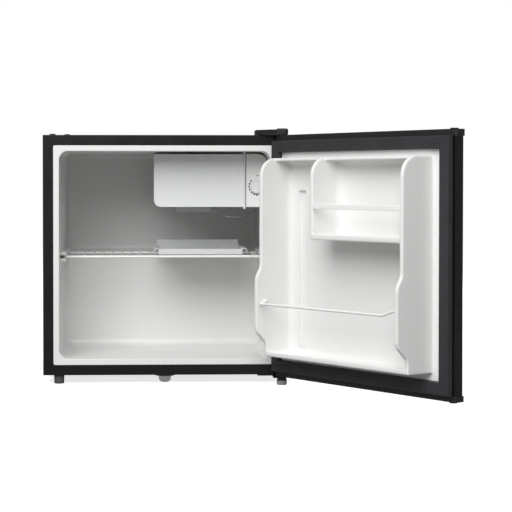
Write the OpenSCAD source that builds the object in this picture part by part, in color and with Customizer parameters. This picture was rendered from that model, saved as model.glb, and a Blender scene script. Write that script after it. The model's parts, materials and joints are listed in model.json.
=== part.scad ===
// Compact single-door mini fridge, drawn with its door open.
// Origin: where the front centre glide touches the floor. +X is right as one faces the door side,
// +Y runs back through the cabinet and +Z is up. All sizes are in millimetres.

/* [Cabinet] */
// Width of the cabinet
cab_w = 472; // [420:1:600]
// Height of the cabinet body above its feet
cab_h = 465; // [400:1:620]
// Depth of the cabinet body without its door
cab_d = 412; // [360:1:520]
// Clearance between the floor and the cabinet
foot_h = 17; // [14:0.5:25]
// Thickness of the steel sheet
sheet_t = 1; // [0.6:0.1:2]
// Outer corner radius of the wrapped shell
shell_r = 3; // [2:0.5:6]
// Width of the steel band around the mouth
band_w = 20; // [14:0.5:30]
// Thickness of the steel band
band_t = 1.2; // [0.8:0.1:2]
// Depth of the band's inner lip
band_lip = 9; // [4:0.5:14]

/* [Liner] */
// Width of the white lip inside the band
lip_w = 11.5; // [8:0.5:20]
// Wall thickness of the inner liner
liner_t = 2; // [1:0.1:3]
// Corner radius of the mouth
mouth_r = 18; // [10:1:30]
// Insulation behind the liner's rear wall
rear_foam = 42; // [25:1:60]
// Insulation around the compressor compartment
comp_foam = 27; // [18:1:40]
// Height of the compressor compartment
comp_h = 193; // [170:1:215]
// Depth of the compressor compartment
comp_d = 118; // [114:1:150]
// Corner radius of the step over the compartment
hump_r = 12; // [6:1:20]

/* [Shelf and tray] */
// Height of the shelf above the liner's floor
shelf_rise = 195; // [170:1:210]
// Distance from the front of the cabinet to the shelf's front wire
shelf_setback = 68; // [64:1:90]
// Radius of the shelf's frame wire
frame_wire_r = 2.5; // [2:0.1:3.5]
// Radius of the shelf's cross wires
cross_wire_r = 1.4; // [1:0.1:2]
// Number of cross wires
cross_wires = 21; // [13:2:29]
// Clearance between the shelf and each side wall
shelf_side_gap = 3.5; // [2:0.5:8]
// Reach of the ribs that carry the shelf
rib_w = 10.5; // [8:0.5:18]
// Thickness of each rib
rib_t = 6; // [4:0.5:9]
// Width of the drip tray's tub
tray_w = 168; // [120:1:190]
// Depth of the drip tray
tray_d = 167; // [120:1:185]
// Height of the tray's front and sides
tray_h = 12; // [9:0.5:20]
// Height of the tray's rear wall
tray_back_h = 25; // [14:0.5:40]
// Wall thickness of the tray
tray_t = 2; // [1.2:0.1:3]
// Reach of the tray's side flanges
tray_flange = 7; // [4:0.5:10]

/* [Freezer] */
// Width of the freezer flap
flap_w = 183; // [150:1:195]
// Height of the freezer flap
flap_h = 105; // [80:1:120]
// Thickness of the freezer flap
flap_t = 6; // [4.5:0.5:8]
// Radius of the flap's lower free corner
flap_r = 14; // [8:1:24]
// Distance from the front of the cabinet to the flap
flap_setback = 70; // [68:1:90]
// Gap between the flap and the liner's ceiling
flap_top_gap = 4; // [3.6:0.2:8]
// Depth of the evaporator box
evap_d = 214; // [150:1:240]
// Wall thickness of the evaporator
evap_t = 1.6; // [1.2:0.1:3]
// Depth of the plastic frame on the evaporator's mouth
mouth_frame_d = 7; // [5:0.5:12]
// Width of the thermostat housing
thermo_w = 42; // [38:0.5:48]
// Depth of the thermostat housing
thermo_d = 120; // [80:1:160]
// Radius of the thermostat dial
dial_r = 14; // [10:0.5:17]
// How far the dial stands out of its housing
dial_proud = 5.8; // [4:0.2:6]

/* [Hinges] */
// Distance of the hinge axis from the cabinet's side
pivot_inset = 11; // [10:0.5:20]
// Radius of the upper hinge pin
upper_pin_r = 3.5; // [3:0.1:4]
// Radius of the lower hinge pin
lower_pin_r = 3; // [2.5:0.1:4]
// Thickness of the hinge brackets
bracket_t = 2.5; // [2:0.1:4]
// Height of the upper hinge cover
cover_h = 10; // [9:0.5:14]
// Wall thickness of the hinge cover
cover_t = 1.6; // [1.2:0.1:2.5]
// Angle at which the door stands open
door_open = 125; // [0:1:135]

/* [Door] */
// Thickness of the door skin's box
skin_box_t = 20.7; // [16:0.1:30]
// Thickness of the door skin's sheet
skin_t = 0.8; // [0.6:0.1:1.5]
// Corner radius of the door skin
skin_r = 4; // [2:0.5:8]
// Height of the top end cap
top_cap_h = 12; // [11:0.5:18]
// Height of the bottom end cap
bottom_cap_h = 10; // [9:0.5:16]
// How far the end caps stand out past the skin
cap_over = 2; // [1:0.5:4]
// Gap between the door's gasket and the cabinet when shut
seal_gap = 0.3; // [0.3:0.1:1]
// Thickness of the gasket
gasket_t = 10; // [8:0.5:14]
// Width of the gasket's strip
gasket_w = 24; // [18:0.5:28]
// Distance between the gasket plane and the hinge axis
gasket_reach = 22; // [20:0.5:26]
// Thickness of the fins
fin_t = 8; // [5:0.5:10]
// Distance from the gasket's inner edge to the hinge-side fin
hinge_inset = 17; // [15:0.5:24]
// Distance from the gasket's inner edge to the free-side fin
free_inset = 21.5; // [20:0.5:30]
// Reach of the upper fins past the gasket
upper_fin = 62; // [50:1:62]
// Reach of the lower fins past the gasket
lower_fin = 74; // [60:1:80]
// Reach of the bottom bay's floor past the gasket
floor_fin = 49; // [40:1:60]
// Distance from the hinge-side fin to the middle fin
tall_bay_w = 133; // [90:1:160]
// Height of the can shelf above the door's bottom
can_shelf_rise = 270.5; // [240:1:290]
// Height of the lip of the can shelf
can_lip = 11.5; // [6:0.5:16]
// Height of the can bar above the door's bottom
can_bar_rise = 326; // [315:1:350]
// Height of the can bar
can_bar_h = 9; // [6:0.5:12]
// Height of the bottle rail above the door's bottom
rail_rise = 147; // [120:1:165]
// Radius of the bottle rail's wire
rail_r = 2.5; // [2:0.1:3.2]

/* [Feet] */
// Distance of the centre glide behind the cabinet's front
glide_setback = 27; // [24:1:40]
// Radius of the glide's collar
glide_collar_r = 18.8; // [15:0.2:22]
// Radius of the glide's metal dome
glide_r = 12; // [8:0.5:14]
// Radius of the flat under the glide
glide_flat_r = 3; // [2:0.5:5]
// Radius of the levelling feet
foot_r = 10; // [8:0.5:12]
// Radius of the left foot's stud
stud_r = 4; // [3:0.1:5]

/* [Compressor] */
// Radius of the compressor's pot
pot_r = 52; // [46:0.5:54]
// Height of the compressor's pot
pot_h = 138; // [110:1:145]
// Distance of the compressor from the middle of the cabinet
pot_x = 92; // [60:1:110]

/* [Hidden] */
$fn = 48;

// Clearances
fit_gap = 0.2;      // between fixed neighbours
run_gap = 0.05;     // radial, a pin or shaft in its bore
move_gap = 0.3;     // between pieces that move past each other
cut = 1;            // how far a cutter runs past a face

// Colours
black_paint = "#1b1b1d";
black_plastic = "#141415";
white_plastic = "#ececea";
steel = "#b8babd";
copper = "#b4683c";

// Cabinet planes: x from the middle, y behind the cabinet's front, z from the floor
half_w = cab_w / 2;
base_z = foot_h;
roof_z = foot_h + cab_h;
mouth_hw = half_w - band_w - lip_w;
mouth_z0 = base_z + band_w + lip_w;
mouth_z1 = roof_z - band_w - lip_w;
liner_back_y = cab_d - rear_foam - liner_t - 2 * sheet_t;
comp_front_y = cab_d - comp_d;
comp_top_z = base_z + comp_h;
hump_front_y = comp_front_y - sheet_t - comp_foam - liner_t;
hump_top_z = comp_top_z + comp_foam + liner_t + sheet_t;
foam_front_y = band_t + band_lip + fit_gap;

// Hinge axis, in cabinet planes
pivot_x = half_w - pivot_inset;
pivot_y = -gasket_reach;

// Shelf and tray
shelf_z = mouth_z0 + shelf_rise;
shelf_hw = mouth_hw - shelf_side_gap - frame_wire_r;
shelf_back_y = hump_front_y - frame_wire_r - cut;
shelf_top_z = shelf_z + frame_wire_r;
tray_z = shelf_top_z + move_gap;
tray_y = shelf_setback + 5;

// Freezer
flap_x1 = mouth_hw - thermo_w - 2 * fit_gap;
flap_x0 = flap_x1 - flap_w;
flap_z1 = mouth_z1 - flap_top_gap;
flap_z0 = flap_z1 - flap_h;
tray_x = flap_x0 + 9;
flap_pin_r = 1.5;
flap_axis_x = flap_x1 - flap_t / 2 - fit_gap;
flap_axis_y = flap_setback + flap_t / 2;
mouth_frame_y = flap_setback + flap_t + 3;
evap_y = mouth_frame_y + mouth_frame_d;
evap_inset = 2;
evap_x0 = flap_x0 + evap_inset;
evap_x1 = flap_x1 - evap_inset;
evap_z0 = flap_z0 + evap_inset;
evap_z1 = flap_z1 - evap_inset;
thermo_x0 = flap_x1 + move_gap;
thermo_x1 = mouth_hw - 2 * fit_gap;
thermo_t = 2;
dial_x = thermo_x0 + thermo_w * 0.54;
dial_z = flap_z0 + 41;
shaft_r = 3;

// Door, in its own planes: x from the hinge axis towards the hinge side, y from the axis
// towards the cabinet when shut, z from the floor
door_z0 = base_z - 1;
door_z1 = roof_z - 0.8;
skin_x1 = pivot_inset - 1;
skin_x0 = skin_x1 - cab_w;
skin_y0 = gasket_reach - 35;
skin_y1 = skin_y0 + skin_box_t;
skin_z0 = door_z0 + bottom_cap_h;
skin_z1 = door_z1 - top_cap_h;
gasket_y1 = gasket_reach - seal_gap;
gasket_y0 = gasket_y1 - gasket_t;
gasket_x1 = skin_x1 - 1;
gasket_x0 = skin_x0 + 2.3;
gasket_z0 = door_z0 + 10.5;
gasket_z1 = door_z1 - 10.7;
flange_y0 = skin_y1 + 0.8;
fin_x1 = gasket_x1 - gasket_w - hinge_inset;
fin_x0 = gasket_x0 + gasket_w + free_inset;
fin_z0 = gasket_z0 + gasket_w + 11.5;
fin_z1 = gasket_z1 - gasket_w - 10.5;
well_y = 3;
panel_t = 2;
middle_x1 = fin_x1 - tall_bay_w - fin_t;
can_shelf_z = door_z0 + can_shelf_rise;
can_shelf_t = 3.5;
can_bar_z = door_z0 + can_bar_rise;
can_bar_t = 2;
can_bar_y = gasket_reach + upper_fin - 5;
rail_z = door_z0 + rail_rise;
rail_y = gasket_reach + lower_fin - 4;

// Hinge fasteners: x from the middle, y behind the front, one corner of the cabinet
screw_r = 2;
screw_head_r = 4.2;
screw_head_h = 1.9;
hinge_screw_xy = [[half_w - 18, 14], [half_w - 18, 36], [half_w - 46, 36]];

// Feet
left_foot_xy = [-half_w + 30.5, 14];
rear_foot_xy = [half_w - 36, cab_d - 27];
socket_r = 7;
socket_h = 10;

// Compressor
pot_y = comp_front_y + comp_d / 2;
pot_z = base_z + 17;
leg_dx = 58;
leg_dy = 36;
leg_t = 3;
leg_z = base_z + 8;
base_t = 1.6;
tube_r = 3;

// ---------------------------------------------------------------- shared shapes

// Points of an arc, counter-clockwise from angle a0 to a1
function arc(cx, cy, r, a0, a1, n = 8) =
    [for (i = [0:n]) [cx + r * cos(a0 + (a1 - a0) * i / n), cy + r * sin(a0 + (a1 - a0) * i / n)]];

// Moves cabinet planes into the part's frame
module from_front() {
    translate([0, -glide_setback, 0]) children();
}

// Moves door planes into the part's frame, at the angle where the door stands
module on_door() {
    from_front() translate([pivot_x, pivot_y, 0]) rotate([0, 0, door_open]) children();
}

// Box between two corners
module block(a, b) {
    translate(a) cube(b - a);
}

// Rectangle with round corners
module round_rect(x0, x1, y0, y1, r) {
    translate([x0 + r, y0]) square([x1 - x0 - 2 * r, y1 - y0]);
    translate([x0, y0 + r]) square([x1 - x0, y1 - y0 - 2 * r]);
    for (x = [x0 + r, x1 - r], y = [y0 + r, y1 - r]) translate([x, y]) circle(r);
}

// Draws its children on the right and mirrored on the left
module both_sides() {
    children();
    mirror([1, 0, 0]) children();
}

// Extrudes an x-z outline from y0 to y1
module along_y(y0, y1) {
    translate([0, y1, 0]) rotate([90, 0, 0]) linear_extrude(y1 - y0) children();
}

// Extrudes a y-z outline from x0 to x1
module along_x(x0, x1) {
    translate([x0, 0, 0]) rotate([90, 0, 90]) linear_extrude(x1 - x0) children();
}

// Round bar between two points
module rod(a, b, r) {
    d = b - a;
    len = norm(d);
    translate(a) rotate([0, acos(d.z / len), atan2(d.y, d.x)]) cylinder(h = len, r = r);
}

// Unit vector
function unit(v) = v / norm(v);

// Points of the round bend at corner i of a route
function bend_points(route, i, bend, steps = 3) = let (
    u = unit(route[i] - route[i - 1]),
    v = unit(route[i + 1] - route[i]),
    turn = acos(u * v),
    n = unit(v - u * (u * v)),
    c = route[i] - u * bend * tan(turn / 2) + n * bend
) [for (k = [0:steps]) c - n * bend * cos(turn * k / steps) + u * bend * sin(turn * k / steps)];

// A route with its corners rounded
function round_route(route, bend) = concat(
    [route[0]],
    [for (i = [1:len(route) - 2]) each bend_points(route, i, bend)],
    [route[len(route) - 1]]);

// Bent wire or pipe along a route, as one swept solid
module pipe(route, r, bend, sides = 8) {
    path = round_route(route, bend);
    last = len(path) - 1;
    aside = [0.31, 0.22, 0.93];
    points = [for (i = [0:last]) let (
        before = path[i] - path[max(i - 1, 0)],
        after = path[min(i + 1, last)] - path[i],
        t = unit((i == 0 ? after : unit(before)) + (i == last ? [0, 0, 0] : unit(after))),
        n = unit(cross(t, aside)),
        b = cross(t, n)
    ) for (k = [0:sides - 1]) path[i] + r * (n * cos(k * 360 / sides) + b * sin(k * 360 / sides))];
    walls = [for (i = [0:last - 1], k = [0:sides - 1]) let (next = (k + 1) % sides)
        [i * sides + k, (i + 1) * sides + k, (i + 1) * sides + next, i * sides + next]];
    ends = [[for (k = [0:sides - 1]) k], [for (k = [sides - 1:-1:0]) last * sides + k]];
    polyhedron(points, concat(walls, ends), convexity = 10);
}

// ---------------------------------------------------------------- cabinet

// Steel top and sides, wrapped from one sheet
module outer_shell() {
    color(black_paint) from_front() difference() {
        along_y(band_t + fit_gap / 2, cab_d) difference() {
            round_rect(-half_w, half_w, base_z - 2 * shell_r, roof_z, shell_r);
            round_rect(-half_w + sheet_t, half_w - sheet_t, base_z - 4 * shell_r, roof_z - sheet_t,
                       shell_r - sheet_t);
            translate([-half_w - cut, base_z - 4 * shell_r - cut]) square([cab_w + 2 * cut, 4 * shell_r + cut]);
        }
        for (side = [-1, 1], p = hinge_screw_xy)
            translate([side * p.x, p.y, roof_z - 2 * sheet_t]) cylinder(h = 4 * sheet_t, r = screw_r + fit_gap);
    }
}

// Steel band around the mouth, with a lip inside and a fine groove along each mitre
module front_frame() {
    inner_x = half_w - band_w;
    groove = 0.5;
    color(black_paint) from_front() difference() {
        union() {
            along_y(0, band_t) round_rect(-half_w, half_w, base_z, roof_z, shell_r);
            along_y(band_t, band_t + band_lip)
                round_rect(-inner_x - sheet_t, inner_x + sheet_t, base_z + band_w - sheet_t,
                           roof_z - band_w + sheet_t, shell_r);
        }
        along_y(-cut, band_t + band_lip + cut)
            round_rect(-inner_x, inner_x, base_z + band_w, roof_z - band_w, shell_r - sheet_t);
        for (x = [-1, 1], z = [-1, 1])
            translate([x * half_w, -groove, (base_z + roof_z) / 2 + z * cab_h / 2])
                rotate([0, x * z * 45, 0])
                translate([-groove / 2, 0, -2 * band_w]) cube([groove, 2 * groove, 4 * band_w]);
    }
}

// Steel floor of the cabinet in front of the compressor
module bottom_panel() {
    color(black_paint) from_front() difference() {
        block([-half_w + sheet_t + fit_gap, band_t + fit_gap, base_z],
              [half_w - sheet_t - fit_gap, comp_front_y - sheet_t - fit_gap, base_z + sheet_t]);
        translate([left_foot_xy.x, left_foot_xy.y, base_z - cut])
            cylinder(h = sheet_t + 2 * cut, r = stud_r + fit_gap);
        for (p = hinge_screw_xy)
            translate([p.x, p.y, base_z - cut]) cylinder(h = sheet_t + 2 * cut, r = screw_r + fit_gap);
    }
}

// Rear sheet with a pressed field and stiffening beads
module back_panel() {
    x1 = half_w - sheet_t - fit_gap;
    y1 = cab_d - sheet_t;
    border = 24;
    bead = 1.5;
    color(black_paint) from_front() difference() {
        union() {
            along_y(y1 - sheet_t, y1)
                round_rect(-x1, x1, comp_top_z, roof_z - sheet_t - fit_gap, shell_r - sheet_t);
            for (i = [1:3])
                block([-x1 + border, y1 - cut / 2, comp_top_z + border + i * 50],
                      [x1 - border, y1 + sheet_t, comp_top_z + border + i * 50 + 8]);
        }
        for (p = panel_screw_xz)
            translate([p.x, y1 + bead, p.y]) rotate([90, 0, 0]) cylinder(h = 4 * bead, r = screw_r + fit_gap);
    }
}
panel_screw_xz = [for (x = [-1, 0, 1], z = [comp_top_z + 10, roof_z - 12]) [x * (half_w - 14), z]];

// Stepped sheet that closes the foam over and in front of the compressor
module compartment_plate() {
    x1 = half_w - sheet_t - fit_gap;
    color(steel) from_front() along_x(-x1, x1) union() {
        translate([comp_front_y - sheet_t, base_z]) square([sheet_t, comp_h]);
        translate([comp_front_y - sheet_t, comp_top_z - sheet_t])
            square([comp_d - sheet_t - fit_gap, sheet_t]);
    }
}

// Outline of the liner's hollow, grown by its wall, for the full mouth and for the part above the hump
module cavity(grow) {
    along_y(-cut, hump_front_y + grow)
        round_rect(-mouth_hw - grow, mouth_hw + grow, mouth_z0 - grow, mouth_z1 + grow, mouth_r + grow);
    along_y(-cut, liner_back_y + grow)
        round_rect(-mouth_hw - grow, mouth_hw + grow, hump_top_z - grow, mouth_z1 + grow, hump_r + grow);
}

// White vacuum-formed liner with its lip and the ribs that carry the shelf
module inner_liner() {
    lip_hw = half_w - band_w - fit_gap;
    rib_gap = 1;
    rib_y0 = shelf_setback - 18;
    color(white_plastic) from_front() {
        difference() {
            union() {
                along_y(0, liner_t)
                    round_rect(-lip_hw, lip_hw, base_z + band_w + fit_gap, roof_z - band_w - fit_gap, shell_r);
                intersection() {
                    cavity(liner_t);
                    block([-half_w, 0, 0], [half_w, cab_d, roof_z]);
                }
            }
            cavity(0);
        }
        both_sides() {
            block([mouth_hw - rib_w, rib_y0, shelf_z - frame_wire_r - fit_gap - rib_t],
                  [mouth_hw + liner_t / 2, hump_front_y + liner_t / 2, shelf_z - frame_wire_r - fit_gap]);
            block([mouth_hw - rib_w, rib_y0, shelf_top_z + rib_gap],
                  [mouth_hw + liner_t / 2, hump_front_y + liner_t / 2, shelf_top_z + rib_gap + rib_t]);
        }
    }
}

// Foam between the shell and the liner
module foam_insulation() {
    x1 = half_w - sheet_t - coil_pocket;
    color("#d9c9a0") from_front() difference() {
        block([-x1, foam_front_y, base_z + sheet_t + fit_gap],
              [x1, cab_d - 2 * sheet_t - fit_gap, roof_z - sheet_t - fit_gap]);
        cavity(liner_t + fit_gap);
        block([-half_w, comp_front_y - sheet_t - fit_gap, 0], [half_w, cab_d + cut, comp_top_z + fit_gap]);
        translate([left_foot_xy.x, left_foot_xy.y, base_z])
            cylinder(h = socket_h + 2 * sheet_t, r = socket_r + fit_gap);
        for (p = hinge_screw_xy)
            translate([p.x, p.y, base_z]) cylinder(h = 3 * sheet_t, r = screw_r + fit_gap);
        for (p = panel_screw_xz)
            translate([p.x, cab_d + cut, p.y]) rotate([90, 0, 0]) cylinder(h = 12, r = screw_r + 2 * fit_gap);
    }
}
coil_pocket = 6.4;

// Hot-wall tube that gives heat off through both side sheets
module condenser_coil() {
    r = 2.5;
    x = half_w - sheet_t - fit_gap - r;
    pitch = 36;
    runs = 5;
    y0 = 60;
    y1 = comp_front_y - 30;
    z0 = comp_top_z + 40;
    color(copper) from_front() for (side = [-1, 1]) {
        for (i = [0:runs]) rod([side * x, y0, z0 + i * pitch], [side * x, y1, z0 + i * pitch], r);
        for (i = [0:runs - 1])
            translate([side * x, i % 2 == 0 ? y1 : y0, z0 + (i + 0.5) * pitch])
                rotate([0, 90, 0]) rotate([0, 0, i % 2 == 0 ? 0 : 180])
                rotate_extrude(angle = 180) translate([pitch / 2, 0]) circle(r);
    }
}

// Cabinet feet that don't turn
module rear_feet() {
    color("#2c2c2e") from_front() for (side = [-1, 1])
        translate([side * rear_foot_xy.x, rear_foot_xy.y, 0])
            cylinder(h = base_z - fit_gap / 2, r1 = foot_r - 1, r2 = foot_r + 1);
}

// Black collar that holds the centre glide
module glide_collar() {
    collar_h = 3.4;
    color(black_plastic) translate([0, 0, base_z - collar_h - fit_gap / 2]) difference() {
        cylinder(h = collar_h, r = glide_collar_r);
        translate([0, 0, -cut]) cylinder(h = collar_h + 2 * cut, r = glide_r / 2 + fit_gap);
    }
}

// Bright metal glide; its flat rests on the floor
module glide_dome() {
    dome_h = 13.4;
    rise = 9;
    color(steel) {
        rotate_extrude() polygon(concat(
            [[0, 0]],
            [for (i = [0:6]) [glide_flat_r + (glide_r - glide_flat_r) * sin(15 * i), rise * (1 - cos(15 * i))]],
            [[glide_r, dome_h], [0, dome_h]]));
        translate([0, 0, dome_h - cut]) cylinder(h = base_z - dome_h + cut - fit_gap, r = glide_r / 2);
    }
}

// Threaded socket for the left foot's stud, above the cabinet's floor
module foot_socket() {
    color(steel) from_front() translate([left_foot_xy.x, left_foot_xy.y, base_z + sheet_t + fit_gap / 2])
        difference() {
            cylinder(h = socket_h, r = socket_r);
            translate([0, 0, -cut]) cylinder(h = socket_h + 2 * cut, r = stud_r + run_gap);
        }
}

// Left levelling foot with its stud and a ribbed skirt
module left_foot() {
    ribs = 24;
    top_z = base_z - 0.5;
    color("#4a4b4d") from_front() translate([left_foot_xy.x, left_foot_xy.y, 0]) {
        difference() {
            cylinder(h = top_z, r1 = foot_r - 0.6, r2 = foot_r);
            for (i = [0:ribs - 1]) rotate([0, 0, i * 360 / ribs])
                translate([foot_r - 0.35, -0.4, 3]) cube([2, 0.8, top_z]);
        }
        translate([0, 0, top_z - cut]) cylinder(h = socket_h - 1 + cut, r = stud_r);
    }
}

// Right levelling foot, turning on the lower end of the hinge pin
module right_foot() {
    color("#8d8f92") from_front() translate([pivot_x, pivot_y, 0]) difference() {
        cylinder(h = right_foot_h, r1 = foot_r - 0.5, r2 = foot_r);
        translate([0, 0, lower_pin_z0 - 0.3]) cylinder(h = right_foot_h, r = lower_pin_r + run_gap);
    }
}
right_foot_h = base_z - 8.7;
lower_pin_z0 = 2.2;

// Locknut between the right foot and the bracket
module right_foot_locknut() {
    nut_h = 2.9;
    color(black_plastic) from_front() translate([pivot_x, pivot_y, right_foot_h + move_gap]) difference() {
        cylinder(h = nut_h, r = 8, $fn = 6);
        translate([0, 0, -cut]) cylinder(h = nut_h + 2 * cut, r = lower_pin_r + fit_gap);
    }
}

// ---------------------------------------------------------------- hinges

// Steel plate on the roof that carries the upper pin
module upper_hinge_bracket() {
    end_r = pivot_inset - 2;
    color(steel) from_front() difference() {
        translate([0, 0, roof_z]) linear_extrude(bracket_t) union() {
            polygon([[half_w - 56, 44], [half_w - 2, 44], [half_w - 2, pivot_y], [pivot_x - end_r, pivot_y],
                     [half_w - 56, 8]]);
            translate([pivot_x, pivot_y - cut / 2]) circle(end_r);
        }
        for (p = hinge_screw_xy)
            translate([p.x, p.y, roof_z - cut]) cylinder(h = bracket_t + 2 * cut, r = screw_r + fit_gap);
        translate([pivot_x, pivot_y, roof_z - cut])
            cylinder(h = bracket_t + 2 * cut, r = upper_pin_r + run_gap);
    }
}

// Upper pin with its head on the bracket
module upper_hinge_pin() {
    color(steel) from_front() translate([pivot_x, pivot_y, 0]) {
        translate([0, 0, skin_z1 + 1]) cylinder(h = roof_z + bracket_t + fit_gap - skin_z1, r = upper_pin_r);
        translate([0, 0, roof_z + bracket_t + fit_gap / 2]) cylinder(h = 2, r = upper_pin_r + 2);
    }
}

// Outline of the hinge cover, drawn in by the given amount
function cover_outline(inset) = let (
    x0 = half_w - 59.5 + inset,
    x1 = half_w - inset,
    y0 = pivot_y - 14 + inset,
    y1 = 48 - inset,
    corner = 5 - 0.6 * inset
) [[x0, y1], [x1, y1], [x1, y0 + corner], [x1 - corner, y0], [pivot_x - 11 + 0.5 * inset, y0],
   [x0, 4 + 0.5 * inset]];

// Hollow plastic cover over the upper hinge, with a round boss over the pin
module upper_hinge_cover() {
    skirt_gap = 0.1;
    color(black_plastic) from_front() difference() {
        union() {
            translate([0, 0, roof_z + skirt_gap]) linear_extrude(cover_h) polygon(cover_outline(0));
            translate([pivot_x, pivot_y, roof_z + cover_h - cut]) cylinder(h = 2 + cut, r = 10.5);
        }
        translate([0, 0, roof_z - cut]) linear_extrude(cover_h + cut - cover_t) polygon(cover_outline(cover_t));
    }
}

// Steel plate under the cabinet that carries the lower pin
module lower_hinge_bracket() {
    joggle = 1.6;
    rear_z1 = base_z - fit_gap / 2;
    front_z1 = door_z0 - 1;
    color(black_paint) from_front() difference() {
        union() {
            block([half_w - 56, 2, rear_z1 - bracket_t], [half_w - 2, 60, rear_z1]);
            block([pivot_x - 16, pivot_y, front_z1 - bracket_t], [half_w - 2, 6, front_z1]);
            block([pivot_x - 16, 2, front_z1 - bracket_t], [half_w - 2, 6, rear_z1 - joggle / 4]);
            translate([pivot_x, pivot_y, front_z1 - bracket_t]) cylinder(h = bracket_t, r = pivot_inset - 2);
        }
        for (p = hinge_screw_xy)
            translate([p.x, p.y, base_z - 3 * bracket_t]) cylinder(h = 4 * bracket_t, r = screw_r + fit_gap);
        translate([pivot_x, pivot_y, front_z1 - 2 * bracket_t])
            cylinder(h = 3 * bracket_t, r = lower_pin_r + run_gap);
    }
}

// Lower pin: door above its flange, levelling foot on its lower end
module lower_hinge_pin() {
    color(steel) from_front() translate([pivot_x, pivot_y, 0]) {
        translate([0, 0, lower_pin_z0]) cylinder(h = skin_z0 - lower_pin_z0 - 0.5, r = lower_pin_r);
        translate([0, 0, door_z0 - 1 + run_gap]) cylinder(h = 0.6, r = lower_pin_r + 2);
    }
}

// Screws of both hinge brackets
module hinge_screws() {
    color(steel) from_front() for (p = hinge_screw_xy) translate([p.x, p.y, 0]) {
        translate([0, 0, roof_z + bracket_t]) cylinder(h = screw_head_h, r = screw_head_r);
        translate([0, 0, roof_z - sheet_t]) cylinder(h = bracket_t + sheet_t + cut, r = screw_r);
        translate([0, 0, lower_screw_z - screw_head_h]) cylinder(h = screw_head_h, r = screw_head_r);
        translate([0, 0, lower_screw_z - cut]) cylinder(h = bracket_t + sheet_t + cut, r = screw_r);
    }
}
lower_screw_z = base_z - bracket_t - fit_gap / 2;

// Plugs in the unused hinge holes of the other side of the roof
module hinge_hole_plugs() {
    plug_r = 5.5;
    plug_h = 2.3;
    color(black_plastic) from_front() for (p = hinge_screw_xy) translate([-p.x, p.y, 0]) {
        translate([0, 0, roof_z + run_gap]) cylinder(h = plug_h, r = plug_r);
        translate([0, 0, roof_z - sheet_t]) cylinder(h = sheet_t + cut, r = screw_r);
    }
}

// Screws around the rear sheet
module panel_screws() {
    y1 = cab_d - sheet_t;
    color(steel) from_front() for (p = panel_screw_xz) translate([p.x, y1, p.y]) rotate([90, 0, 0]) {
        translate([0, 0, -1.6]) cylinder(h = 1.5, r = screw_head_r);
        translate([0, 0, -0.5]) cylinder(h = 8, r = screw_r);
    }
}

// ---------------------------------------------------------------- cold box

// Front outline of the cold box between two corners, its lower left corner rounded like the flap's
function cold_outline(x0, z0, x1, z1, r) =
    concat([[x1, z0], [x1, z1], [x0, z1]], arc(x0 + r, z0 + r, r, 180, 270));

// Aluminium evaporator, a box open at the front
module evaporator_box() {
    color("#c9cdd0") from_front() difference() {
        along_y(evap_y + fit_gap, evap_y + evap_d)
            polygon(cold_outline(evap_x0, evap_z0, evap_x1, evap_z1, flap_r));
        along_y(evap_y - cut, evap_y + evap_d - evap_t)
            polygon(cold_outline(evap_x0 + evap_t, evap_z0 + evap_t, evap_x1 - evap_t, evap_z1 - evap_t,
                                 flap_r - evap_t));
    }
}

// Spacers that hang the evaporator from the liner's ceiling
module evaporator_hangers() {
    color(white_plastic) from_front()
        for (x = [evap_x0 + 25, evap_x1 - 25], y = [evap_y + 25, evap_y + evap_d - 25])
            translate([x, y, evap_z1 + run_gap]) cylinder(h = mouth_z1 - evap_z1 - 2 * run_gap, r = 5);
}

// White frame on the evaporator's mouth, with two ears for the flap's pins
module freezer_frame() {
    rim = 6;
    ear_t = 2.8;
    frame_y1 = mouth_frame_y + mouth_frame_d;
    color(white_plastic) from_front() difference() {
        union() {
            along_y(mouth_frame_y, frame_y1)
                polygon(cold_outline(flap_x0 + 1, flap_z0, flap_x1, flap_z1, flap_r + 1));
            for (z = [flap_z0 - move_gap - ear_t, flap_z1 + move_gap]) {
                translate([flap_axis_x, flap_axis_y, z]) cylinder(h = ear_t, r = flap_t / 2);
                block([flap_axis_x - flap_t / 2, flap_axis_y, z], [flap_axis_x + flap_t / 2, frame_y1, z + ear_t]);
                block([flap_axis_x - flap_t / 2, mouth_frame_y, z - move_gap],
                      [flap_axis_x + flap_t / 2, frame_y1, z + ear_t + move_gap]);
            }
        }
        along_y(mouth_frame_y - cut, frame_y1 + cut)
            polygon(cold_outline(flap_x0 + rim, flap_z0 + rim, flap_x1 - rim, flap_z1 - rim, flap_r - rim));
        for (z = [flap_z0 - 2 * ear_t, flap_z1]) translate([flap_axis_x, flap_axis_y, z])
            cylinder(h = 2 * ear_t, r = flap_pin_r + run_gap);
    }
}

// Freezer flap with a rounded hinge edge and two pins
module freezer_flap() {
    small_r = 3;
    pin_l = 2.6;
    color("#dfe2e2") from_front() {
        along_y(flap_setback, flap_setback + flap_t) polygon(concat(
            [[flap_axis_x, flap_z0], [flap_axis_x, flap_z1]],
            arc(flap_x0 + small_r, flap_z1 - small_r, small_r, 90, 180),
            arc(flap_x0 + flap_r, flap_z0 + flap_r, flap_r, 180, 270)));
        translate([flap_axis_x, flap_axis_y, flap_z0]) cylinder(h = flap_h, r = flap_t / 2);
        translate([flap_axis_x, flap_axis_y, flap_z0 - pin_l]) cylinder(h = flap_h + 2 * pin_l, r = flap_pin_r);
    }
}

// Outline of the thermostat housing, drawn in by the given amount
function thermo_outline(inset) = concat(
    [[thermo_x0 + inset, flap_z0 + inset], [thermo_x1 - inset, flap_z0 + inset]],
    arc(thermo_x1 - mouth_r, flap_z1 - mouth_r, mouth_r - inset, 0, 90),
    [[thermo_x0 + inset, flap_z1 - inset]]);

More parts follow.
